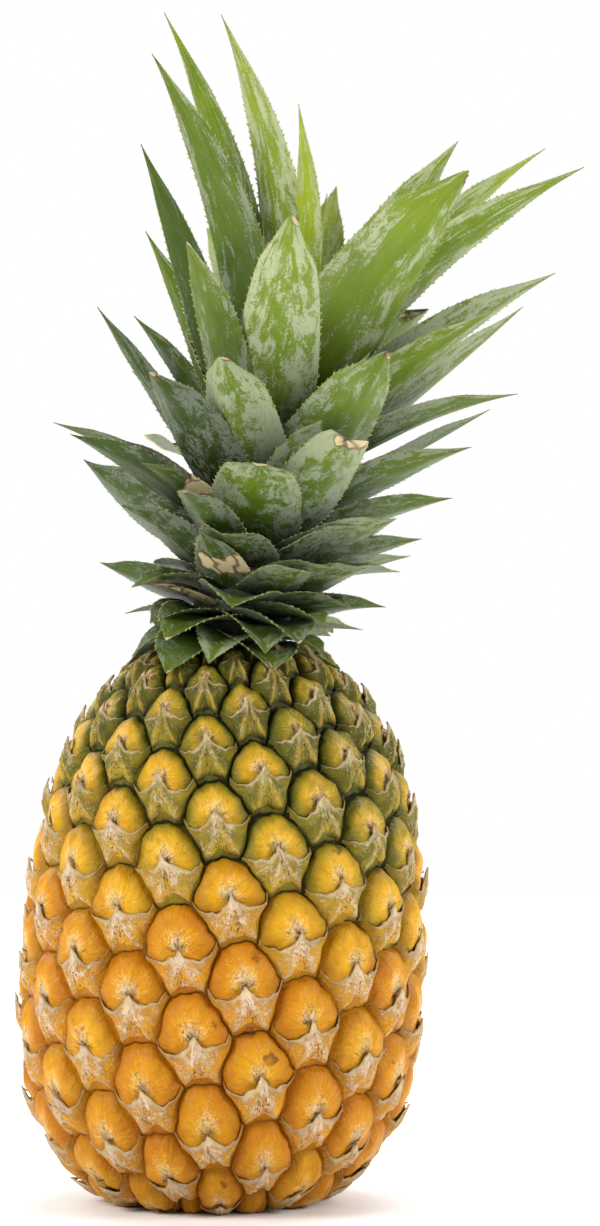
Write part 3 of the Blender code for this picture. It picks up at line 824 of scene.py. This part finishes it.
    def ripeness(self, points: np.ndarray) -> np.ndarray:
        """How ripe the skin is: 1 near the base, falling to 0 at the shoulder, and further down on the right side.

        Args:
            points: Points as (..., 3).

        Returns:
            The ripeness.
        """
        height = points[..., 2]
        start = self.ripe_from - points[..., 0] / self.radius * 14.0 * MM
        return 1.0 - 0.95 * np.clip((height - start) / self.ripe_from, 0.0, 1.0) ** 0.8 - 0.1 * (height / self.seat)

    def eye_marks(self, grids: np.ndarray, across: np.ndarray, up: np.ndarray) -> Marks:
        """The numbers that the finishes read: where in its eye a point is, how ripe it is and the eye's chance."""
        ripe = self.ripeness(grids.mean(axis=(1, 2), keepdims=True)) * 0.7 + self.ripeness(grids) * 0.3
        return {"eye_across": across, "eye_up": up, "ripe": ripe, "chance": self.chance}

    def lip_line(self, size: np.ndarray) -> np.ndarray:
        """Template height of the bracts' lip at a share s of the way out: 0.14 s^6 - 0.5 s (1 - s)^0.8, so it sags and
        turns up at the eye's side, and higher in the middle of the eyes near the top."""
        return 0.14 * size**6 - 0.5 * size * (1 - size) ** 0.8 + 0.22 * self.top * (1 - size) ** 1.5

    def build_skin(self) -> None:
        """The cheeks. With the hexagon distance and the round one from the eye's middle mixed as e, the cheek rises
        from the groove by (groove + crown) (1 - e^7)^0.6, with a dimple in the middle, a crease along the bract's lip,
        shallow folds round the middle and a lowered floor under the bract."""
        wave = self.wave
        side = np.arange(self.spokes_per_side)[:, None] / self.spokes_per_side
        ends = zip(self.corners, np.roll(self.corners, -1, axis=0))
        edge = np.concatenate([start + (end - start) * side for start, end in ends])
        hexagon = (1 - (1 - np.linspace(0, 1, self.rings)) ** 1.25)[:, None]
        across, up, rim = hexagon * edge[:, 0], hexagon * edge[:, 1], hexagon > 0.999
        angle, out = np.arctan2(up, across), np.abs(across)
        mixed = np.where(rim, 1.0, np.clip(0.62 * hexagon + 0.38 * np.hypot(across, up * 0.93), 0, 1))
        pillow = (1 - mixed**7) ** 0.6
        swell = 1 + 0.08 * wave[0] + 0.05 * wave[1] * np.cos(angle) + 0.05 * wave[2] * np.sin(2 * angle)
        crown = self.crown_height * swell * (0.95 + 0.3 * ease(-0.3, 0.5, up) - 0.4 * hexagon**2)
        above = up - self.lip_line(np.minimum(out * (1 + 0.08 * out**6), 1.0))
        aside, aloft = across - 0.06 * wave[3], above - 0.04 - 0.05 * wave[4]
        dimple = (self.dimple[0] + self.dimple[1] * wave[5]) * MM * np.exp(-(aside**2 + aloft**2) / 0.035)
        crease = (self.crease[0] + self.crease[1] * wave[1]) * MM * bump(above - 0.08, 0.09) * ease(1.0, 0.6, hexagon)
        folds = np.cos(5 * angle + wave[3]) + 0.6 * np.cos(8 * angle + 3 * wave[0])
        folds = self.fold_depth * folds * pillow * ease(0.2, 0.7, hexagon)
        floor = self.floor_depth * (ease(0.0, -0.2, above) * ease(1.0, 0.85, hexagon))
        rise = -self.groove + (self.groove + crown) * pillow - dimple - crease - folds - floor
        grids = self.place(across, up, np.where(rim, -self.groove, rise))
        sheets = Sheets().add_grids(grids, self.eye_marks(grids, across, up) | {"edge": mixed})
        belongs(sheets.build("eye_skin", EyeFinish().material(), weld=1e-5), "skin", "fruit")

    def build_bracts(self) -> None:
        """The bracts: closed paper sheets from the eye's lower edges up to a lip, which sags from the side corners and
        rises to a spike. The sheet stands like a tent, highest at the spike, with two ridges down to the lower
        corners."""
        wave, top = self.wave, self.top
        u = np.concatenate([np.linspace(-1, -0.14, 10), np.linspace(-0.09, 0.09, 5), np.linspace(0.14, 1, 10)])
        row = (1 - (1 - np.linspace(0, 1, 9)) ** 1.4)[:, None]
        size = np.abs(u)
        place = np.clip((u + 1) * 1.5, 0, 2.9999)
        first = place.astype(int)
        share = (place - first)[:, None]
        low = self.corners[[3, 4, 5, 0]]
        bottom = low[first] * (1 - share) + low[first + 1] * share
        spike = np.exp(-((size / 0.11) ** 1.25))
        jag = 0.014 * np.sin(u * 23 + wave[0] * 3) + 0.010 * np.sin(u * 47 + wave[1] * 5)
        lip = self.lip_line(size) * (1 + 0.25 * wave[4]) + jag * ease(1.0, 0.8, size)
        lip = lip + 0.03 * wave[5] * (1 - size) + 0.03 * wave[3] * np.sin(math.pi * u)
        lip_up = lip + (0.17 + 0.04 * wave[2] + 0.04 * top) * spike
        lip_across = u * (1 - 0.1 * spike - 0.07 * size**6) + 0.04 * wave[3] * spike
        across = bottom[:, 0] * 0.98 * (1 - row) + lip_across * row
        up = bottom[:, 1] * 0.98 * (1 - row) + lip_up * row
        tent = (1 - size) ** 0.45
        height = (0.5 + 2.7 * tent + 0.6 * top * tent) * MM * ease(1.0, 0.9, size)
        slope = (self.groove + height * (1 + 0.08 * wave[4])) * (1 - (1 - row) ** 2.6)
        ridges = (2.0 + 1.4 * top) * MM * (bump(size - 0.33 * (1 - row * 0.95), 0.07) * row**0.7 * (1.1 - row))
        spine = 0.6 * MM * bump(size, 0.08) * row**2 * (1.1 - row)
        hollows = 0.5 * MM * bump(size - 0.6, 0.16) * row * (1 - row) * 4
        peak = (0.2 + 1.0 * top + 0.25 * wave[5]) * MM * spike * row**4 * self.bare
        thin_lip = 0.2 * MM * ease(0.8, 1.0, row) * ease(0.1, 0.3, size)
        pleats = 0.12 * MM * np.sin(u * 60 + wave[0] * 9) * row
        rise = -self.groove + slope + ridges + spine - hollows + peak - thin_lip + pleats
        outer = self.place(across, up, rise)
        inner = self.place(across, up, rise - self.paper[0] * ease(1.0, 0.9, size) - self.paper[1])
        marks = self.eye_marks(outer, across, up) | {"bract_across": u, "bract_rise": row, "spike": spike * row**4}
        full = {name: np.broadcast_to(value, outer.shape[:3]) for name, value in marks.items()}
        tubes = {name: wrap(value, value) for name, value in full.items()}
        sheets = Sheets().add_grids(wrap(outer, inner), tubes, flip=True)
        belongs(sheets.build("bract_paper", BractFinish().material(), weld=2e-6), "skin")

    def build_tufts(self) -> None:
        """The dried flowers: a few tapering threads for each eye, bent up and out of the dimple behind the spike."""
        draw = np.random.default_rng(self.seed + 1)
        sheets = Sheets()
        length = np.linspace(0, 1, 5)[:, None]
        around = np.arange(4) / 4 * TURN
        thick = 0.028 * (1 - length) ** 0.7
        for _ in range(self.threads):
            lean = draw.normal(0, 0.16, self.each)
            tall = draw.uniform(0.06, 0.22, self.each)
            root = draw.normal(0, 0.05, self.each)
            across = root + lean * length + thick * np.cos(around)
            up = 0.04 + 0.2 * self.top + tall * length
            rise = (0.2 + 2.6 * np.sin(length * 1.9)) * MM + thick * 13 * MM * np.sin(around)
            sheets.add_grids(self.place(across, up, rise), {})
        belongs(sheets.build("dried_flowers", TuftFinish().material()), "skin")

    def build_base(self) -> None:
        """The hollow under the base: a turned funnel from the flat base up round the stalk and over its end."""
        radii, heights = (np.array(sizes)[:, None] * MM for sizes in (self.hollow_radii, self.hollow_heights))
        angle = np.arange(96) / 96 * TURN
        ripple = 1 + 0.02 * np.sin(angle * 13) + 0.012 * np.sin(angle * 29)
        x, y = radii * np.cos(angle) * ripple, radii * np.sin(angle) * ripple
        grids = np.stack(np.broadcast_arrays(x, y, heights), axis=-1)[None]
        sheets = Sheets().add_grids(grids, {})
        belongs(sheets.build("base_hollow", StalkFinish().material("base_fibre"), weld=1e-5), "cut_stalk")

    def dress_stalk(self) -> None:
        """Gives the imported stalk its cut, fibrous finish."""
        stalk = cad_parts["stalk"]
        stalk.data.materials.clear()
        stalk.data.materials.append(StalkFinish(pale=paint(206, 186, 138)).material("cut_stalk"))
        LOG.info("stalk: dressed")

    def build(self) -> None:
        """Builds and dresses everything of the fruit."""
        self.build_skin()
        self.build_bracts()
        self.build_tufts()
        self.build_base()
        self.dress_stalk()


# Crown


@dataclass(frozen=True)
class Leaf:
    """One leaf: where it is rooted and where its tip lies, in millimetres, with its width, bends and looks."""

    root: float
    right: float
    back: float
    up: float
    width: float
    start: float
    blunt: float = 0.8
    roll: float = 0.0
    cut: float = 0.0
    dry: float = 0.0

    @property
    def tip(self) -> Vector:
        """The tip's place from the crown's foot, in metres."""
        return Vector((self.right, self.back, self.up)) * MM


# Each row holds a leaf's root, right, back, up, width, start and blunt, then where needed its roll, cut and dry.
NEAR_LEAVES = tuple(Leaf(*row) for row in (
    (5, -7, -37, -3, 18, 15, 0.7), (6, 28, -26, 0, 18, 15, 0.7), (5, -31, -14, -1, 16, 20, 0.8),
    (8, 10, -38, 0, 22, 20, 0.7), (9, -25, -25, 9, 22, 20, 0.6), (8, -34, 4, 12, 15, 20, 0.8),
    (9, 40, -6, 7, 15, 15, 0.8), (11, 28, -28, 9, 22, 25, 0.6), (12, 47, -4, 14, 17, 26, 0.8, 25),
    (12, -10, -31, 37, 21, 62, 0.95, 0, 0, 0.5), (11, -27, -25, 21, 12, 30, 0.8, 0, 0, 0.95),
    (16, 21, -34, 25, 19, 30, 0.5, 0, 0, 0.1), (16, -42, 8, 28, 20, -6, 0.8, 30), (18, 41, -22, 26, 18, 25, 0.7, 20),
    (20, 55, 8, 30, 17, 26, 0.8, 25), (20, -34, -22, 45, 19, 40, 0.6, 30), (24, -15, -36, 49, 23, 45, 0.45),
    (24, 58, -10, 35, 17, 30, 0.8, 30), (28, 50, -20, 41, 21, 25, 0.7, 20), (30, 8, -42, 57, 31, 50, 0.45),
    (30, 68, 8, 48, 20, 40, 0.8, 30), (30, -47, 8, 60, 25, 12, 0.8, 45), (34, 35, -36, 63, 25, 38, 0.45, 20, 0.15),
    (34, -28, -22, 58, 17, 45, 0.7, 20, 0, 0.5), (34, -50, -14, 67, 20, 35, 0.8, 30),
    (38, -57, 16, 72, 18, 30, 0.8, 20), (38, 73, -16, 63, 19, 43, 0.8, 30, 0, 0.1),
    (38, -25, -33, 85, 25, 55, 0.5, 25), (44, 80, 14, 76, 19, 32, 0.8, 20), (44, -3, -42, 89, 29, 55, 0.45),
    (46, 47, -36, 91, 29, 42, 0.5, 30), (47, 88, -2, 80, 21, 54, 0.8, 20),
    (46, -43, 14, 108, 10, 42, 0.8, 60, 0, 0.2), (50, -32, 24, 106, 12, 58, 0.8, 60),
    (52, 80, -14, 105, 19, 60, 0.8, 45), (52, -14, -26, 125, 21, 68, 0.55, 20, 0, 0.1),
    (54, 91, 24, 109, 24, 38, 0.8, 30), (56, 100, 6, 118, 21, 60, 0.8, 45), (56, -28, 16, 132, 13, 62, 0.8, 60),
    (58, 18, -36, 132, 28, 62, 0.45), (58, -29, 4, 158, 14, 66, 0.8, 70), (60, 72, -22, 147, 32, 84, 0.55, 70),
    (64, 109, 6, 151, 18, 79, 0.8, 60), (64, -25, -12, 184, 18, 88, 0.8, 75),
    (66, 98, 26, 159, 17, 76, 0.8, 50, 0, 0.1), (68, 70, 14, 160, 21, 80, 0.7, 70),
    (68, -22, 12, 200, 13, 86, 0.8, 75), (70, -4, 2, 198, 16, 102, 0.8, 80), (70, 29, 8, 143, 9, 92, 0.8, 60),
    (72, 20, -9, 169, 13, 112, 0.8, 50), (72, 9, 12, 172, 13, 85, 0.8, 0, 0.1),
))

SHEATHS = tuple(Leaf(*row) for row in (
    (6, 30, 8, 5, 26, 18, 0.6), (5, 24, 22, 3, 26, 15, 0.6), (6, -24, 16, 4, 26, 18, 0.6),
    (1, 24, 20, -4, 26, -8, 0.6), (1, 4, 34, -4, 26, -8, 0.6), (1, -20, 26, -4, 26, -8, 0.6),
    (2, -33, -2, -4, 24, -8, 0.6, 0, 0, 0.2), (2, 33, -6, -5, 24, -8, 0.6, 0, 0, 0.2), (3, -20, -31, -6, 25, 8, 0.55),
    (3, 12, -34, -5, 25, 8, 0.55, 0, 0, 0.15), (3, -4, 36, -5, 26, 5, 0.6), (3, 24, 27, -5, 26, 5, 0.6),
    (3, -22, 24, -5, 26, 5, 0.6), (7, -20, -33, 4, 25, 28, 0.55), (8, 20, -35, 3, 25, 28, 0.55),
    (12, 0, -38, 14, 27, 40, 0.55), (13, 36, -16, 14, 24, 30, 0.6), (15, -31, -16, 20, 23, 36, 0.6),
    (17, 30, -27, 26, 24, 38, 0.55), (22, -3, -36, 36, 26, 50, 0.55), (25, 40, -18, 39, 22, 38, 0.6),
    (27, -32, -12, 44, 20, 44, 0.6), (36, -36, -4, 66, 19, 52, 0.7), (40, 30, -26, 72, 24, 52, 0.6),
    (49, 42, -16, 92, 22, 60, 0.7),
))


@dataclass
class Crown:
    """The leafy stem: leaves rooted up a leaning stem, each a lens-shaped section carried along a bent path."""

    foot: Vector
    lean: float = math.radians(10.0)
    stem_length: float = 82.0 * MM
    foot_radius: float = 17.0 * MM
    top_radius: float = 8.0 * MM
    root_share: float = 0.55
    clasp_gap: float = 6.0 * MM
    open_radius: float = 26.0 * MM
    bend_share: float = 0.46
    root_fullness: float = 0.2
    narrowest: float = 0.35 * MM
    thickness: float = 1.1 * MM
    middle_groove: float = 0.25 * MM
    far_leaves: int = 52
    far_roots: tuple[float, float] = (6.0, 72.0)
    far_sector: float = math.radians(72.0)
    far_left: float = math.radians(-40.0)
    far_left_share: float = 0.72
    rows: int = 56
    columns: int = 26
    tooth_gap: float = 2.3 * MM
    tooth_jitter: float = 0.8
    toothed: tuple[float, float] = (0.22, 0.97)
    tooth: float = 1.05 * MM
    keel: float = 0.3
    nib: float = 0.45
    first_draw: int = 100
    seed: int = 5

    def __post_init__(self) -> None:
        """Points the stem, and sets out the near side's leaves, the far side's and the short ones between them."""
        self.axis = Vector((math.sin(self.lean), 0.0, math.cos(self.lean)))
        self.leaves = [*NEAR_LEAVES, *self.far_rows(), *SHEATHS]

    def far_rows(self) -> Iterator[Leaf]:
        """The leaves of the far side, one divergence angle apart, sized by how high they are rooted.

        Yields:
            Each leaf that falls in the far sector.
        """
        draw = random.Random(self.seed)
        roots = (0.0, 10.0, 20.0, 35.0, 50.0, 60.0, 75.0)
        reaches = (33.0, 38.0, 50.0, 60.0, 72.0, 66.0, 34.0)
        rises = (2.0, 9.0, 30.0, 56.0, 92.0, 126.0, 150.0)
        widths = (17.0, 21.0, 25.0, 29.0, 31.0, 30.0, 24.0)
        starts = (0.0, 18.0, 28.0, 38.0, 48.0, 60.0, 80.0)
        first, last = self.far_roots
        for number in range(self.far_leaves):
            root = first + (last - first) * number / (self.far_leaves - 1)
            turn = (number * DIVERGENCE + math.pi) % TURN - math.pi
            reach, rise, width, start = (np.interp(root, roots, sizes) for sizes in (reaches, rises, widths, starts))
            reach = reach * draw.uniform(0.88, 1.08)
            rise = rise + draw.uniform(-6.0, 6.0)
            width = width * draw.uniform(0.85, 1.05)
            cut = draw.choice((0.0, 0.0, 0.0, 0.2))
            blunt = draw.uniform(0.5, 0.85)
            if turn < self.far_left:
                reach *= self.far_left_share
            if abs(turn) <= self.far_sector:
                right = (self.axis * root).x + reach * math.sin(turn)
                yield Leaf(root, right, reach * math.cos(turn), rise, width, start, blunt, cut=cut)

    def stem_radius(self, share: float | np.ndarray) -> float | np.ndarray:
        """Radius of the tapering stem at a share of its length."""
        return self.foot_radius + (self.top_radius - self.foot_radius) * share

    def blade(self, leaf: Leaf, chance: random.Random) -> tuple[np.ndarray, np.ndarray, Marks]:
        """One leaf. Its middle line is (1-t)^2 root + 2t(1-t) bend + t^2 tip. Across it the section is an arc whose
        radius opens from the stem's to a wide one, folded to a keel near the tip, and round the section its thickness
        goes with the sine of the angle.

        Args:
            leaf: The leaf.
            chance: Its random draws.

        Returns:
            Points as (row, column, 3), the two edge lines as (2, row, 3), and the marks.
        """
        root_height = leaf.root * MM
        stem = self.stem_radius(min(1.0, max(0.0, root_height / self.stem_length)))
        base, tip = self.foot + self.axis * root_height, self.foot + leaf.tip
        outward = tip - base
        outward -= self.axis * outward.dot(self.axis)
        outward.normalize()
        base += outward * stem * self.root_share
        reach, start = (tip - base).length, math.radians(leaf.start)
        bend = base + (outward * math.cos(start) + self.axis * math.sin(start)) * reach * self.bend_share
        t = (1 - (1 - np.linspace(0, 1, self.rows)) ** 1.15)[:, None]
        p0, p1, p2, up, out = (np.array(vector) for vector in (base, bend, tip, self.axis, outward))
        middle = (1 - t) ** 2 * p0 + 2 * t * (1 - t) * p1 + t**2 * p2
        heading = unit((1 - t) * (p1 - p0) + t * (p2 - p1))
        inner = unit(square_to(up - heading * (heading @ up)[:, None] - out * 0.25, heading))
        roll = math.radians(leaf.roll)
        backward = square_to(np.array((0.0, 1.0, 0.0)), heading)
        inner = unit(inner * math.cos(roll) + backward * math.sin(roll))
        side = unit(np.cross(heading, inner))
        shown = t * (1 - leaf.cut)
        angle = math.pi * (self.root_fullness + (1 - self.root_fullness) * shown**0.9)
        share = np.maximum(np.sin(angle), 0.0) ** leaf.blunt * (1 - self.nib * ease(0.8, 1.0, shown))
        half = np.maximum(leaf.width * MM * share, self.narrowest) / 2
        clasp = stem + self.clasp_gap
        curl = clasp + (self.open_radius - clasp) * np.minimum(1.0, t * 1.6)
        around = (np.arange(self.columns) / self.columns * TURN)[None]
        place = np.cos(around)
        swing = place * half / curl
        phase = [chance.uniform(0, TURN) for _ in range(4)]
        ripple = np.sin(t * reach / MM * 0.11 + phase[0]) * 0.35 + np.sin(t * reach / MM * 0.23 + phase[1]) * 0.18
        wave = ripple * MM * place**2 * np.sign(place) * share
        thick = self.thickness * 0.5 * (0.35 + 0.65 * (1 - t) ** 0.7) * np.sin(around) * (0.45 + 0.55 * share)
        groove = -self.middle_groove * bump(place, 0.16) * share
        fold = self.keel * half * np.abs(place) * ease(0.35, 1.0, t)
        rise = curl * (1 - np.cos(swing)) + wave + thick * np.cos(swing) + groove + fold
        run = curl * np.sin(swing) - thick * np.sin(swing)
        points = middle[:, None] + side[:, None] * run[..., None] + inner[:, None] * rise[..., None]
        if leaf.cut > 0:
            torn = np.sin(place * 7 + phase[2]) * 1.1 * MM + np.sin(place * 17 + phase[3]) * 0.5 * MM
            points = points + heading[:, None] * (torn * ease(0.93, 1.0, t))[..., None]
        edges = np.stack([points[:, 0], points[:, self.columns // 2]])
        ends = np.repeat(points.mean(axis=1, keepdims=True), self.columns, axis=1)
        points = np.concatenate([ends[:1], points, ends[-1:]])
        along = np.concatenate([[[0.0]], t, [[1.0]]])
        return points, edges, {"across": place, "along": along, "under": ease(0.2, -0.2, np.sin(around))}

    def looks(self, leaf: Leaf, chance: random.Random, along: np.ndarray) -> Marks:
        """How light, dry and waxy a leaf is: it lightens up the crown and towards its own tip, the darkening towards
        the root being painted shade.

        Args:
            leaf: The leaf.
            chance: Its random draws.
            along: Share of the way from root to tip.

        Returns:
            The marks that the leaf's finish reads.
        """
        high = np.interp(leaf.root, (0, 20, 40, 55, 66, 75), (0.38, 0.3, 0.33, 0.43, 0.6, 0.76))
        bloom = np.interp(leaf.root, (0, 20, 40, 60, 75), (0.56, 0.47, 0.48, 0.47, 0.42))
        left = 0.14 * ease(0.0, -30.0, leaf.right)
        # Painted shade: the along term darkens each leaf towards its root.
        tone = high + chance.uniform(-0.1, 0.08) + 0.4 * (along - 0.5) - left
        end = 0.62 if leaf.blunt < 0.6 or leaf.cut else 0.3 + 0.2 * chance.random()
        spread = bump(along - 0.55, 0.22) * 1.25 if leaf.dry < 0.8 else 0.55 + 0.6 * along
        dryness = leaf.dry * spread + end * ease(0.92, 0.99, along)
        bloom = bloom - left + chance.uniform(-0.14, 0.16)
        return {"tone": tone, "dryness": dryness, "bloom": bloom, "chance": chance.random()}

    def teeth(self, line: np.ndarray, other: np.ndarray, draw: np.random.Generator) -> tuple[np.ndarray, Marks]:
        """The teeth of one edge: a small four-sided spine every few millimetres, leaning forward.

        Args:
            line: Points along the edge.
            other: Points along the leaf's other edge.
            draw: The leaf's random draws.

        Returns:
            Points as (tooth, row, column, 3), and the marks.
        """
        steps = np.concatenate([[0.0], np.cumsum(np.linalg.norm(np.diff(line, axis=0), axis=1))])
        first, last = self.toothed
        at = np.arange(steps[-1] * first, steps[-1] * last, self.tooth_gap)
        at = at + draw.uniform(-self.tooth_jitter, self.tooth_jitter, len(at)) * MM
        here, ahead, opposite = (
            np.stack([np.interp(where, steps, edge[:, axis]) for axis in range(3)], axis=-1)
            for where, edge in ((at, line), (at + MM, line), (at, other))
        )
        ahead = unit(ahead - here)
        across = square_to(here - opposite, ahead)
        wide = np.linalg.norm(across, axis=1, keepdims=True)
        across = unit(across)
        thick = np.cross(ahead, across) * 0.2 * MM
        size = self.tooth * draw.uniform(0.55, 1.0, len(at))[:, None] * np.clip(wide / (9 * MM), 0.35, 1)
        foot = here - across * 0.3 * MM
        base = np.stack([foot - ahead * size * 0.9, foot + thick, foot + ahead * size * 0.5, foot - thick], axis=1)
        point = here + across * size * 0.75 + ahead * size * 0.7
        grids = np.stack([base, np.repeat(point[:, None], 4, axis=1)], axis=1)
        return grids, {"point": np.array(((0.0,), (1.0,)))}

    def build_tier(self, tier: Tier, skin: bpy.types.Material, horn: bpy.types.Material) -> None:
        """The leaves of one storey as one piece, and their teeth as another.

        Args:
            tier: The storey.
            skin: The leaf finish.
            horn: The teeth's finish.
        """
        leaves, teeth = Sheets(), Sheets()
        for number, leaf in enumerate(self.leaves):
            if not tier.holds(leaf.root):
                continue
            chance, draw = random.Random(self.first_draw + number), np.random.default_rng(number)
            points, edges, marks = self.blade(leaf, chance)
            leaves.add_grids(points[None], marks | self.looks(leaf, chance, marks["along"]))
            for line, other in (edges, edges[::-1]):
                teeth.add_grids(*self.teeth(line, other, draw))
        storey = tier.name.lower()
        belongs(leaves.build(f"crown_{storey}", skin), "leaf", "crown")
        belongs(teeth.build(f"teeth_{storey}", horn), "leaf")

    def build_stem(self, material: bpy.types.Material) -> None:
        """The stem: circles whose radius falls evenly from foot to top, closed at both ends.

        Args:
            material: The leaf finish.
        """
        share = np.concatenate([[0.0], np.linspace(0, 1, 24), [1.0]])[:, None]
        radius = self.stem_radius(share)
        radius[0] = radius[-1] = 0.0
        angle = np.arange(48) / 48 * TURN
        lumps = 1 - 0.05 * (1 + np.sin(angle * 5 + share * 40)) / 2
        x, y = radius * np.cos(angle) * lumps, radius * np.sin(angle) * lumps
        middle = np.array(self.foot) + np.array(self.axis) * (share * self.stem_length)[..., None]
        grids = middle + np.stack([x, y, np.zeros_like(x)], axis=-1)
        # Painted shade: along 0.1 lays the leaf finish's dark root shade over the stem.
        marks = {"across": 0.0, "along": 0.1, "tone": 0.3, "dryness": 0.1, "bloom": 0.5, "chance": 0.4, "under": 0.0}
        belongs(Sheets().add_grids(grids[None], marks).build("crown_stem", material, weld=1e-5), "leaf")

    def build(self) -> None:
        """Builds the stem and each storey's leaves and teeth."""
        skin, horn = LeafFinish().material(), ToothFinish().material()
        self.build_stem(skin)
        for tier in Tier:
            self.build_tier(tier, skin, horn)


# Studio


@dataclass(frozen=True)
class Lamp:
    """One square area light: where it stands and what it points at, in metres, with its power in watts."""

    name: str
    place: Place
    aim: Place
    size: float
    power: float
    tint: Place = (1.0, 1.0, 1.0)

    def build(self) -> None:
        """Builds the light."""
        data = bpy.data.lights.new(self.name, "AREA")
        data.size, data.energy, data.color = self.size, self.power, self.tint
        light = bpy.data.objects.new(self.name, data)
        light.location = self.place
        light.rotation_euler = (Vector(self.aim) - Vector(self.place)).to_track_quat("-Z", "Y").to_euler()
        bpy.context.scene.collection.objects.link(light)


@dataclass
class Studio:
    """The pale floor, the soft lights, the white surroundings and the camera."""

    camera_place: Place = (26.4 * MM, -1300.0 * MM, 182.0 * MM)
    frame_height: float = 380.06 * MM
    sensor: float = 36.0
    floor_reach: float = 1.4
    ambient: float = 0.34
    lamps: tuple[Lamp, ...] = (
        Lamp("key", (-1.15, -0.75, 0.95), (0.0, 0.0, 0.17), 0.7, 24.0, (1.0, 0.985, 0.96)),
        Lamp("fill", (1.25, -0.6, 0.75), (0.0, 0.0, 0.17), 0.8, 17.0, (0.98, 0.99, 1.0)),
        Lamp("top", (0.1, 0.5, 1.3), (0.0, 0.0, 0.17), 0.8, 14.0),
        Lamp("floor_left", (-0.9, 1.0, 1.0), (-0.5, 1.0, 0.0), 0.9, 16.0),
        Lamp("floor_right", (0.9, 1.0, 1.0), (0.5, 1.0, 0.0), 0.9, 16.0),
    )

    def build_camera(self) -> None:
        """A level camera in front, whose lens fits the picture's height at the fruit's distance."""
        data = bpy.data.cameras.new("camera")
        data.sensor_width = self.sensor
        data.lens = self.sensor * -self.camera_place[1] / self.frame_height
        camera = bpy.data.objects.new("camera", data)
        camera.location = self.camera_place
        camera.rotation_euler = (math.pi / 2, 0.0, 0.0)
        bpy.context.scene.collection.objects.link(camera)
        bpy.context.scene.camera = camera

    def build_floor(self) -> None:
        """A level square floor, two even steps each way."""
        reach = np.linspace(-self.floor_reach, self.floor_reach, 3)
        grid = np.stack(np.broadcast_arrays(reach[None], reach[:, None], 0.0), axis=-1)
        sheets = Sheets().add_grids(grid[None], {}, closed=False)
        sheets.build("studio_floor", FloorFinish().material())

    def build_surroundings(self) -> None:
        """A white surrounding that lights the fruit less than it shows."""
        world = bpy.data.worlds.new("studio")
        world.use_nodes = True
        nodes, links = world.node_tree.nodes, world.node_tree.links
        shown, lit = nodes["Background"], nodes.new("ShaderNodeBackground")
        for background, strength in ((shown, 1.0), (lit, self.ambient)):
            background.inputs["Color"].default_value = (1.0, 1.0, 1.0, 1.0)
            background.inputs["Strength"].default_value = strength
        choice = nodes.new("ShaderNodeMixShader")
        seen = nodes.new("ShaderNodeLightPath").outputs["Is Camera Ray"]
        for place, socket in enumerate((seen, lit.outputs[0], shown.outputs[0])):
            links.new(socket, choice.inputs[place])
        links.new(choice.outputs[0], nodes["World Output"].inputs["Surface"])
        bpy.context.scene.world = world

    def build(self) -> None:
        """Builds the studio: a key from the upper left, a fill, a top light and two on the floor."""
        self.build_camera()
        self.build_floor()
        for lamp in self.lamps:
            lamp.build()
        self.build_surroundings()
        bpy.context.scene.view_settings.view_transform = "Standard"
        LOG.info("studio: camera, floor and lights")


def main() -> None:
    """Builds the studio, the fruit and the crown in order."""
    logging.basicConfig(level=logging.INFO, format="%(name)s %(message)s")
    Studio().build()
    fruit = Fruit()
    LOG.info("fruit: %d eyes", len(fruit.index))
    fruit.build()
    foot = Vector((fruit.seat * math.tan(fruit.lean), 0.0, fruit.seat + 0.3 * MM))
    crown = Crown(foot)
    LOG.info("crown: %d leaves", len(crown.leaves))
    crown.build()


if __name__ == "__main__":
    main()
